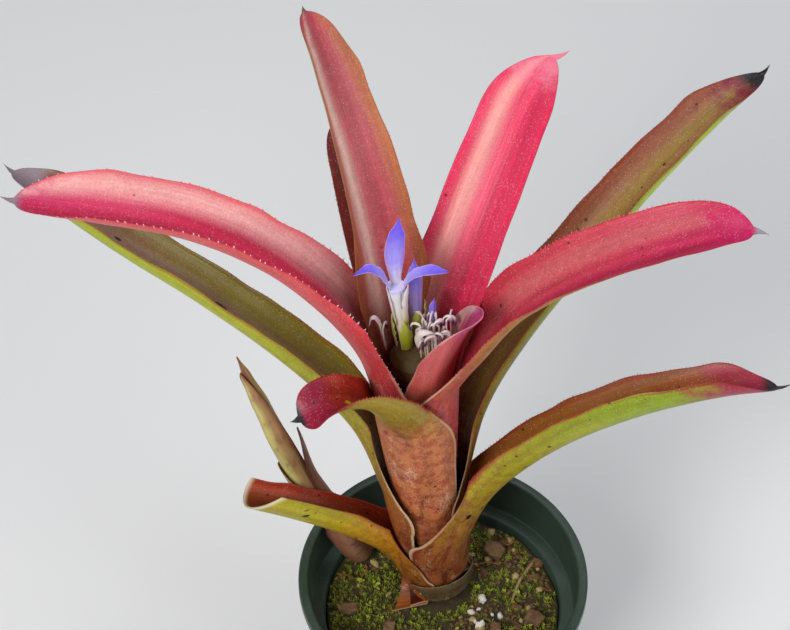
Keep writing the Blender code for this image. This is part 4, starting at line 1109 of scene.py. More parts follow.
LOW_RIGHT_SKIN = LeafSkin(
    near=paint(0.70, 0.46, 0.16), middle=paint(0.66, 0.46, 0.16), far=paint(0.70, 0.40, 0.20),
    margin=paint(0.62, 0.40, 0.14), streak=paint(0.72, 0.56, 0.22), shade=paint(0.60, 0.20, 0.14),
    throat=paint(0.38, 0.14, 0.08), under_near=paint(0.72, 0.66, 0.13), under_far=paint(0.62, 0.70, 0.09),
    sheath=paint(0.70, 0.46, 0.27), mottle=paint(0.58, 0.28, 0.22), edge=paint(0.64, 0.16, 0.14),
    tip=paint(0.70, 0.20, 0.34), dry=paint(0.25, 0.22, 0.24), margin_share=0.5, streak_place=0.1,
    streak_width=0.5,
    shade_place=-0.72, shade_width=0.22, shade_share=0.8, mottle_share=0.55, edge_share=0.9, tip_start=0.76,
    dry_start=0.955, freckles=0.25, scurf=0.28, spots=((-0.55, 0.12, 0.0007),), tooth=paint(0.62, 0.20, 0.16))
GREEN_SKIN = LeafSkin(
    near=paint(0.62, 0.52, 0.30), middle=paint(0.62, 0.58, 0.28), far=paint(0.62, 0.44, 0.36),
    margin=paint(0.56, 0.52, 0.14), streak=paint(0.76, 0.62, 0.56), shade=paint(0.55, 0.24, 0.18),
    throat=paint(0.40, 0.20, 0.14), under_near=paint(0.68, 0.68, 0.16), under_far=paint(0.72, 0.76, 0.12),
    sheath=paint(0.70, 0.44, 0.24), mottle=paint(0.60, 0.34, 0.20), edge=paint(0.62, 0.26, 0.14),
    tip=paint(0.60, 0.32, 0.36), dry=paint(0.66, 0.60, 0.62), margin_share=0.9, streak_place=0.05,
    streak_width=0.62,
    streak_share=0.85, shade_place=0.48, shade_width=0.16, shade_share=0.6, mottle_share=0.40, edge_share=0.6,
    tip_start=0.84, dry_start=0.93, freckles=0.22, scurf=0.35,
    spots=((-0.10, 0.52, 0.0013), (0.30, 0.22, 0.0009), (-0.20, 0.76, 0.0006)), tooth=paint(0.58, 0.30, 0.18))
BACK_LOW_SKIN = LeafSkin(
    near=paint(0.40, 0.09, 0.10), middle=paint(0.50, 0.12, 0.13), far=paint(0.56, 0.16, 0.18),
    margin=paint(0.60, 0.30, 0.16), streak=paint(0.60, 0.22, 0.22), shade=paint(0.30, 0.05, 0.07),
    throat=paint(0.22, 0.05, 0.05), under_near=paint(0.58, 0.56, 0.18), under_far=paint(0.60, 0.46, 0.18),
    sheath=paint(0.56, 0.42, 0.22), mottle=paint(0.46, 0.22, 0.16), edge=paint(0.52, 0.10, 0.12),
    tip=paint(0.55, 0.12, 0.22), mottle_share=0.5)
# Painted shadow: the dark maroon near colour and the throat stand in for the shadow that leaf_right_pink
# casts on this leaf's inner face near its foot.
LONG_SKIN = LeafSkin(
    near=paint(0.42, 0.12, 0.12), middle=paint(0.66, 0.46, 0.32), far=paint(0.70, 0.50, 0.40),
    margin=paint(0.68, 0.42, 0.32), streak=paint(0.70, 0.62, 0.34), shade=paint(0.74, 0.42, 0.40),
    throat=paint(0.24, 0.04, 0.05), under_near=paint(0.62, 0.58, 0.14), under_far=paint(0.70, 0.80, 0.10),
    sheath=paint(0.64, 0.42, 0.26), mottle=paint(0.54, 0.28, 0.20), edge=paint(0.62, 0.24, 0.16),
    tip=paint(0.58, 0.14, 0.30), dry=paint(0.22, 0.20, 0.22), margin_share=0.8, streak_place=0.15,
    streak_width=0.5,
    streak_share=0.8, shade_place=-0.60, shade_width=0.42, shade_share=0.8, mottle_share=0.45, edge_share=0.7,
    tip_start=0.86, dry_start=0.95, freckles=0.30, scurf=0.45, tooth=paint(0.60, 0.26, 0.18))
FOLDED_SKIN = LeafSkin(
    near=paint(0.66, 0.30, 0.14), middle=paint(0.66, 0.26, 0.12), far=paint(0.62, 0.22, 0.16),
    margin=paint(0.74, 0.26, 0.14), streak=paint(0.70, 0.34, 0.16), shade=paint(0.42, 0.10, 0.14),
    throat=paint(0.42, 0.16, 0.12), under_near=paint(0.68, 0.60, 0.17), under_far=paint(0.70, 0.62, 0.17),
    sheath=paint(0.80, 0.54, 0.36), mottle=paint(0.66, 0.28, 0.24), edge=paint(0.72, 0.24, 0.14),
    tip=paint(0.66, 0.16, 0.32), dry=paint(0.25, 0.25, 0.28), margin_share=0.6, streak_place=-0.3,
    shade_place=0.6,
    shade_width=0.5, shade_share=0.8, mottle_share=0.55, edge_share=0.8, tip_start=0.72, dry_start=0.96,
    freckles=0.30, scurf=0.45, spot_colour=paint(0.74, 0.72, 0.16), spots=((-0.10, 0.68, 0.0016),),
    tooth=paint(0.76, 0.28, 0.16))
# Painted highlight: the whitish streak near the upper margin stands in for light falling from above and the
# left.
LEFT_PINK_SKIN = LeafSkin(
    near=paint(0.76, 0.24, 0.34), middle=paint(0.86, 0.26, 0.42), far=paint(0.86, 0.22, 0.46),
    margin=paint(0.88, 0.32, 0.40), streak=paint(0.97, 0.78, 0.76), shade=paint(0.80, 0.14, 0.36),
    throat=paint(0.62, 0.10, 0.18), under_near=paint(0.86, 0.36, 0.38), under_far=paint(0.86, 0.38, 0.40),
    sheath=paint(0.80, 0.40, 0.40), mottle=paint(0.84, 0.30, 0.34), edge=paint(0.90, 0.34, 0.38),
    tip=paint(0.82, 0.18, 0.46), dry=paint(0.66, 0.60, 0.62), margin_share=0.4, streak_place=-0.72,
    streak_width=0.52,
    streak_share=0.90, shade_place=0.35, shade_width=0.45, shade_share=0.7, mottle_share=0.45, edge_share=0.5,
    tip_start=0.90, dry_start=0.975, freckles=0.06, scurf=0.62, tooth=paint(0.95, 0.84, 0.82))
# Painted highlight: the pale streak on the upper side stands in for a highlight.
RIGHT_PINK_SKIN = LeafSkin(
    near=paint(0.80, 0.14, 0.34), middle=paint(0.84, 0.34, 0.42), far=paint(0.84, 0.28, 0.46),
    margin=paint(0.84, 0.34, 0.40), streak=paint(0.95, 0.68, 0.64), shade=paint(0.76, 0.16, 0.40),
    throat=paint(0.60, 0.08, 0.14), under_near=paint(0.76, 0.52, 0.24), under_far=paint(0.72, 0.60, 0.16),
    sheath=paint(0.80, 0.38, 0.38), mottle=paint(0.70, 0.24, 0.26), edge=paint(0.84, 0.26, 0.34),
    tip=paint(0.84, 0.10, 0.46), dry=paint(0.70, 0.68, 0.72), margin_share=0.5, streak_place=0.45,
    streak_width=0.42,
    streak_share=0.38, shade_place=-0.45, shade_width=0.42, shade_share=0.8, mottle_share=0.55,
    edge_share=0.5,
    tip_start=0.84, dry_start=0.99, freckles=0.20, scurf=0.50, tooth=paint(0.86, 0.42, 0.44))
# Painted highlight: the pale streak right of the middle stands in for the highlight along the midrib.
UPRIGHT_SKIN = LeafSkin(
    near=paint(0.60, 0.20, 0.24), middle=paint(0.83, 0.48, 0.50), far=paint(0.84, 0.50, 0.52),
    margin=paint(0.76, 0.52, 0.36), streak=paint(0.97, 0.88, 0.82), shade=paint(0.80, 0.38, 0.42),
    throat=paint(0.44, 0.06, 0.10), under_near=paint(0.68, 0.56, 0.26), under_far=paint(0.74, 0.58, 0.30),
    sheath=paint(0.66, 0.44, 0.30), mottle=paint(0.58, 0.28, 0.22), edge=paint(0.80, 0.50, 0.30),
    tip=paint(0.82, 0.36, 0.42), dry=paint(0.60, 0.50, 0.48), margin_share=0.95, streak_place=0.38,
    streak_width=0.42,
    streak_share=0.9, shade_place=-0.35, shade_width=0.35, shade_share=0.5, mottle_share=0.4, edge_share=0.5,
    tip_start=0.90, freckles=0.06, scurf=0.50, tooth=paint(0.80, 0.56, 0.44))
BROAD_SKIN = LeafSkin(
    near=paint(0.66, 0.16, 0.24), middle=paint(0.92, 0.38, 0.50), far=paint(0.94, 0.36, 0.50),
    margin=paint(0.90, 0.20, 0.42), streak=paint(0.97, 0.72, 0.68), shade=paint(0.88, 0.20, 0.42),
    throat=paint(0.36, 0.03, 0.08), under_near=paint(0.76, 0.46, 0.36), under_far=paint(0.86, 0.40, 0.44),
    sheath=paint(0.70, 0.40, 0.34), mottle=paint(0.92, 0.28, 0.44), edge=paint(0.88, 0.20, 0.42),
    tip=paint(0.96, 0.60, 0.68), dry=paint(0.80, 0.70, 0.70), margin_share=0.6, streak_place=0.48,
    streak_width=0.40,
    streak_share=0.85, shade_place=-0.42, shade_width=0.40, shade_share=0.6, mottle_share=0.35,
    edge_share=0.6,
    tip_start=0.86, dry_start=1.045, freckles=0.05, scurf=0.55, tooth=paint(0.94, 0.50, 0.56))
INNER_SKIN = LeafSkin(
    near=paint(0.80, 0.40, 0.44), middle=paint(0.78, 0.34, 0.46), far=paint(0.74, 0.30, 0.54),
    margin=paint(0.93, 0.86, 0.82), streak=paint(0.88, 0.60, 0.60), shade=paint(0.76, 0.24, 0.46),
    throat=paint(0.60, 0.24, 0.20), under_near=paint(0.84, 0.46, 0.42), under_far=paint(0.84, 0.44, 0.46),
    sheath=paint(0.80, 0.66, 0.46), mottle=paint(0.82, 0.40, 0.38), edge=paint(0.92, 0.78, 0.72),
    tip=paint(0.80, 0.34, 0.58), dry=paint(0.93, 0.88, 0.86), margin_share=0.7, mottle_share=0.35,
    edge_share=0.9,
    tip_start=0.80, dry_start=1.03, freckles=0.04, scurf=0.35)
DRY_SKIN = LeafSkin(
    near=paint(0.46, 0.38, 0.30), middle=paint(0.46, 0.38, 0.30), far=paint(0.46, 0.38, 0.30),
    margin=paint(0.60, 0.52, 0.40), streak=paint(0.52, 0.44, 0.36), shade=paint(0.40, 0.28, 0.20),
    throat=paint(0.36, 0.28, 0.22), under_near=paint(0.50, 0.43, 0.32), under_far=paint(0.52, 0.44, 0.33),
    sheath=paint(0.48, 0.41, 0.32), mottle=paint(0.44, 0.34, 0.18), edge=paint(0.64, 0.56, 0.44),
    tip=paint(0.48, 0.40, 0.32), dry=paint(0.60, 0.52, 0.42), mottle_share=0.6, tip_start=1.2, dry_start=1.2,
    freckles=0.35, scurf=0.30)

LEAVES = (
    Leaf("leaf_left_cut", 190, 0, 0.0045, 0.014,
         ((0.018, 0, 0.027), (0.031, 0, 0.0415), (0.046, 0, 0.0535), (0.061, 0, 0.064)),
         ((-1, 0.014), (-0.1, 0.020), (0.35, 0.0142), (0.7, 0.0122), (1, 0.0112)),
         ((-1, 0.012), (0.2, 0.0092), (0.6, 0.0076), (1, 0.0068)), CUT_SKIN,
         roll=((0, 0), (0.3, 24), (1, 30)), tip_start=1.0, sides=(0.85, 0.85), recess=(0.05, 0.14),
         tooth_length=0.0005, tooth_gap=0.0022,
         blade_wall=0.0010),
    Leaf("leaf_right_low", -5, 1, 0.0080, 0.034,
         ((0.024, 0, 0.057), (0.045, 0, 0.081), (0.070, 0, 0.098), (0.096, 0, 0.109), (0.114, 0, 0.113)),
         ((-1, 0.020), (-0.1, 0.026), (0.25, 0.0160), (0.6, 0.0155), (0.85, 0.0125), (1, 0.008)),
         ((-1, 0.012), (0.25, 0.0105), (0.6, 0.0102), (0.85, 0.009), (1, 0.008)), LOW_RIGHT_SKIN,
         roll=((0, 0), (0.3, -26), (0.7, -32), (1, -30)), tip_start=0.88, sides=(1.0, 0.75), mucro=0.005,
         tooth_length=0.0006, tooth_gap=0.0014),
    Leaf("leaf_left_green", 155, 2, 0.0115, 0.056,
         ((0.025, 0, 0.082), (0.048, 0, 0.103), (0.076, 0, 0.120), (0.108, 0, 0.135), (0.142, 0, 0.155)),
         ((-1, 0.014), (-0.1, 0.022), (0.25, 0.0145), (0.55, 0.0128), (0.85, 0.0118), (1, 0.009)),
         ((-1, 0.012), (0.25, 0.0090), (1, 0.0088)), GREEN_SKIN,
         roll=((0, 0), (0.35, 22), (1, 20)), tip_start=0.90, sides=(0.35, 1.0), tooth_length=0.0005,
         tooth_gap=0.0017),
    Leaf("leaf_back_low", 104, 3, 0.0150, 0.066,
         ((0.025, 0, 0.094), (0.050, 0, 0.113), (0.079, 0, 0.125), (0.104, 0, 0.131)),
         ((-1, 0.014), (-0.1, 0.022), (0.25, 0.013), (0.55, 0.0105), (1, 0.007)),
         ((-1, 0.012), (0.25, 0.011), (1, 0.011)), BACK_LOW_SKIN, sides=(0.35, 0.35)),
    Leaf("leaf_right_long", 37, 4, 0.0185, 0.056,
         ((0.025, 0, 0.087), (0.045, 0, 0.107), (0.072, 0, 0.124), (0.099, 0, 0.139), (0.125, 0, 0.150),
          (0.146, 0, 0.156)),
         ((-1, 0.014), (-0.1, 0.022), (0.25, 0.015), (0.55, 0.013), (0.85, 0.0115), (1, 0.008)),
         ((-1, 0.012), (0.25, 0.0095), (1, 0.009)), LONG_SKIN,
         roll=((0, 0), (0.4, -8), (1, -14)), sides=(0.75, 0.30), tooth_length=0.0006, tooth_gap=0.0016),
    Leaf("leaf_front_folded", 238, 5, 0.0225, 0.100,
         ((0.022, 0.001, 0.119), (0.028, -0.001, 0.129), (0.034, -0.005, 0.134), (0.040, -0.009, 0.136),
          (0.045, -0.013, 0.134)),
         ((-1, 0.014), (-0.15, 0.022), (0.35, 0.014), (0.7, 0.011), (1, 0.009)),
         ((-1, 0.012), (0.3, 0.011), (0.7, 0.009), (1, 0.010)), FOLDED_SKIN,
         tip_start=0.80, sides=(0.9, 0.9), tooth_length=0.0008, tooth_gap=0.0012, mucro=0.003),
    Leaf("leaf_left_pink", 184, 6, 0.044, 0.112,
         ((0.018, 0, 0.133), (0.028, 0, 0.155), (0.044, 0, 0.177), (0.065, 0, 0.1935), (0.089, 0, 0.2035),
          (0.111, 0, 0.211)),
         ((-1, 0.011), (-0.1, 0.021), (0.2, 0.0175), (0.5, 0.0145), (0.8, 0.0135), (1, 0.010)),
         ((-1, 0.012), (0.25, 0.012), (0.6, 0.0115), (1, 0.011)), LEFT_PINK_SKIN,
         roll=((0, 0), (0.4, 3), (1, 3)), tip_start=0.84, sides=(0.5, 1.0), tooth_length=0.0011,
         tooth_gap=0.0028, mucro=0.004),
    Leaf("leaf_right_pink", -6, 7, 0.048, 0.112,
         ((0.024, 0, 0.132), (0.037, 0, 0.152), (0.056, 0, 0.168), (0.078, 0, 0.180), (0.095, 0, 0.187),
          (0.1035, 0, 0.187)),
         ((-1, 0.011), (-0.1, 0.021), (0.2, 0.016), (0.5, 0.0135), (0.8, 0.0125), (1, 0.009)),
         ((-1, 0.012), (0.25, 0.015), (1, 0.016)), RIGHT_PINK_SKIN,
         sides=(1.0, 0.30), tooth_length=0.0008, tooth_gap=0.0016, mucro=0.0045, mucro_width=0.0011,
         mucro_bend=(0.0, 0.0, -0.4)),
    Leaf("leaf_back_upright", 117, 8, 0.052, 0.112,
         ((0.015, 0, 0.139), (0.021, 0, 0.161), (0.0295, 0, 0.184), (0.043, 0, 0.205), (0.0585, 0, 0.2245)),
         ((-1, 0.010), (-0.1, 0.021), (0.2, 0.015), (0.5, 0.013), (0.8, 0.012), (1, 0.009)),
         ((-1, 0.012), (0.25, 0.013), (1, 0.014)), UPRIGHT_SKIN,
         roll=((0, 0), (0.4, 15), (1, 40)), tip_start=0.88, tip_power=2.4, sides=(0.25, 0.5), mucro=0.0015,
         tooth_length=0.0005, tooth_gap=0.0020),
    Leaf("leaf_back_broad", 56, 9, 0.056, 0.108,
         ((0.0203, 0, 0.132), (0.035, 0, 0.1504), (0.052, 0, 0.1666), (0.068, 0, 0.1806), (0.080, 0, 0.1896)),
         ((-1, 0.010), (-0.1, 0.021), (0.2, 0.0145), (0.5, 0.0128), (0.85, 0.0123), (1, 0.011)),
         ((-1, 0.012), (0.25, 0.018), (0.5, 0.024), (1, 0.026)), BROAD_SKIN,
         roll=((0, 0), (0.5, 6), (1, 0)), tip_start=0.80, tip_power=1.9, sides=(0.6, 0.25), skew=-0.30,
         mucro=0.0060, mucro_width=0.0016, tooth_length=0.0004, tooth_gap=0.0016),
    Leaf("leaf_cup_inner", 328, 10, 0.060, 0.108,
         ((0.014, 0, 0.130), (0.020, 0, 0.147), (0.026, 0, 0.157)),
         ((-1, 0.010), (-0.1, 0.018), (0.5, 0.013), (1, 0.008)),
         ((-1, 0.011), (0.5, 0.012), (1, 0.009)), INNER_SKIN,
         tip_start=0.70, sides=(0.9, 0.9), mucro=0.0012, tooth_length=0.0),
)
DRY_SHEATH = Leaf("dry_basal_sheath", 292, -1, 0.0010, 0.0110,
                  ((0.0134, 0, 0.0140), (0.0139, 0, 0.0170)),
                  ((-1, 0.011), (-0.1, 0.017), (0.5, 0.014), (1, 0.009)),
                  ((-1, 0.012), (1, 0.014)), DRY_SKIN,
                  tip_start=0.5, sides=(0.6, 1.0), mucro=0.0, wave=0.0002, tooth_length=0.0, spans_along=60)


@dataclass
class Rosette:
    """Leaves, dry sheath, stem and flower head."""

    crown: Crown = field(default_factory=Crown)
    leaves: tuple[Leaf, ...] = LEAVES
    dry_sheath: Leaf = DRY_SHEATH

    def build(self, pattern: bpy.types.NodeTree, wear: bpy.types.NodeTree) -> None:
        """Make every leaf and dress the stem and flower head.

        Args:
            pattern: The shared leaf pattern.
            wear: The shared wear pattern.
        """
        teeth = teeth_tree()
        for leaf in self.leaves:
            leaf.build(self.crown, pattern, teeth)
        faces = self.dry_sheath.surface(self.crown)
        vertices, polygons, vectors = closed_sheet(faces["inner"], faces["outer"], faces["lie"],
                                                   faces["flat"])
        material = self.dry_sheath.skin.material("dry_sheath_finish", pattern)
        settle(mesh_object("dry_basal_sheath_husk", vertices, polygons, material, vectors, 70.0),
               "dry_sheath",
               "dry_basal_sheath")
        stem = WornFinish("stem_finish", paint(0.55, 0.50, 0.28), paint(0.45, 0.36, 0.20),
                          paint(0.30, 0.22, 0.14),
                          scale=220.0, grain_scale=1200.0)
        # Painted shade: the flower head takes dark olive-brown colours so that it reads as the shade down in
        # the cup.
        head = WornFinish("flower_head_finish", paint(0.34, 0.27, 0.12), paint(0.24, 0.14, 0.09),
                          paint(0.46, 0.42, 0.18), scale=320.0, grain_scale=1600.0, dust_share=0.4)
        for name, finish in (("stem", stem), ("flower_head", head)):
            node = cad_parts[name]
            node.data.materials.clear()
            node.data.materials.append(finish.material(wear))
            log.info("%s: dressed", name)


# ---------------------------------------------------------------- flowers
class Form(Enum):
    """How a flower's strip ends."""

    POINTED = 1.6
    ROUND = 2.6


@dataclass(frozen=True)
class Strip:
    """A petal, sepal or claw along a path in the rosette's frame."""

    name: str
    path: tuple[Point, ...]
    side: Point
    half_width: Pairs
    channel: float
    slot: str
    nodes: tuple[str, ...]
    tip_start: float = 0.6
    form: Form = Form.POINTED
    wall: float = 0.00042
    wave: float = 0.0002

    def build(self, crown: Crown, material: bpy.types.Material) -> None:
        """Make the strip.

        Args:
            crown: The rosette's frame.
            material: Its finish.
        """
        fractions = np.linspace(0.0, 1.0, 41)
        centres, length = spline(self.path, fractions)
        _, across, normal = frames_along(centres, np.asarray(self.side, float))
        half_width = eased(self.half_width, fractions)
        rounding = np.clip((fractions - self.tip_start) / (1.0 - self.tip_start), 0.0, 1.0)
        half_width = np.maximum(half_width * np.sqrt(1.0 - rounding**self.form.value), 0.00012)
        u = np.linspace(-1.0, 1.0, 17)
        angle = (half_width / self.channel)[:, None] * u[None]
        ruffle = np.array([[noise.noise(Vector((t * 9.0, side * 5.0, len(self.name)))) for side in (-1, 1)]
                           for t in fractions])
        lift = np.where(u[None] < 0, ruffle[:, :1], ruffle[:, 1:]) * np.abs(u[None]) ** 2 * self.wave * 2.0
        grid = (centres[:, None] + across[:, None] * (self.channel * np.sin(angle))[..., None]
                + normal[:, None] * (self.channel * (1.0 - np.cos(angle)) + lift)[..., None])
        face = unit(np.cross(np.gradient(grid, axis=0), np.gradient(grid, axis=1)))
        wall = np.minimum(self.wall, half_width * 0.8)[:, None] * (1.0 - 0.6 * np.abs(u[None]) ** 2)
        shape = grid.shape[:2]
        lie = np.stack([np.broadcast_to(u[None], shape), np.broadcast_to(fractions[:, None], shape),
                        np.zeros(shape)], 2)
        flat = np.stack([half_width[:, None] * u[None], np.broadcast_to(fractions[:, None] * length, shape),
                         np.zeros(shape)], 2)
        vertices, faces, vectors = closed_sheet(crown.to_model(grid), crown.to_model(grid - face * wall[...,
            None]),
                                                lie, flat)
        settle(mesh_object(self.name, vertices, faces, material, vectors, 70.0), self.slot, *self.nodes)


@dataclass(frozen=True)
class FlowerFinish:
    """A petal's colours from its foot to its tip, with fine veins."""

    name: str
    foot: Colour
    middle: Colour
    tip: Colour
    point: Colour
    vein: Colour
    middle_at: float = 0.45
    rough: float = 0.42

    def material(self) -> bpy.types.Material:
        """The finish as a material."""
        material, web, shader = new_material(self.name)
        across, along, _ = web.split(web.attribute("lie"))
        flat = web.attribute("flat")
        streaks = web.noise(web.scaled(flat, (1.0, 0.04, 1.0)), 1500.0, 2.0)
        cloud = web.noise(flat, 500.0, 3.0)
        where = web.math("ADD", along, web.times(web.math("SUBTRACT", cloud, 0.5), 0.25))
        skin = web.mix(web.step(where, 0.05, self.middle_at), self.foot, self.middle)
        skin = web.mix(web.step(where, self.middle_at, 0.85), skin, self.tip)
        skin = web.mix(web.step(along, 0.90, 1.0), skin, self.point)
        reach = web.math("ABSOLUTE", across)
        skin = web.mix(web.times(web.step(streaks, 0.50, 0.70), 0.35), skin, self.vein)
        skin = web.mix(web.times(web.step(reach, 0.80, 1.0), 0.30), skin, paint(0.93, 0.91, 0.96))
        web.feed(shader.inputs["Base Color"], skin)
        web.feed(shader.inputs["Roughness"], web.math("ADD", self.rough, web.times(cloud, 0.15)))
        web.feed(shader.inputs["Normal"], web.height(web.math("ADD", streaks, web.times(cloud, 0.5)),
                                                     0.00012))
        set_shader(shader, subsurface_weight=0.25, subsurface_scale=0.002)
        return material


LAVENDER = FlowerFinish("petal_lavender_finish", paint(0.88, 0.86, 0.94), paint(0.66, 0.62, 0.95),
                        paint(0.44, 0.36, 0.93), paint(0.36, 0.22, 0.82), paint(0.52, 0.44, 0.95), 0.40)
BUD_LAVENDER = FlowerFinish("bud_lavender_finish", paint(0.78, 0.74, 0.70), paint(0.66, 0.60, 0.86),
                            paint(0.50, 0.42, 0.90), paint(0.40, 0.26, 0.80), paint(0.56, 0.48, 0.90), 0.45)
CLAW_WHITE = FlowerFinish("petal_white_finish", paint(0.72, 0.72, 0.30), paint(0.94, 0.92, 0.84),
                          paint(0.95, 0.94, 0.96), paint(0.84, 0.82, 0.96), paint(0.86, 0.86, 0.80), 0.32)
SEPAL_GREEN = FlowerFinish("sepal_finish", paint(0.56, 0.58, 0.14), paint(0.64, 0.70, 0.16),
                           paint(0.72, 0.74, 0.30),
                           paint(0.80, 0.74, 0.50), paint(0.46, 0.52, 0.10), 0.5)
SPENT_WHITE = FlowerFinish("spent_petal_finish", paint(0.80, 0.76, 0.58), paint(0.95, 0.93, 0.86),
                           paint(0.93, 0.86, 0.86), paint(0.52, 0.20, 0.42), paint(0.84, 0.72, 0.74), 0.3)


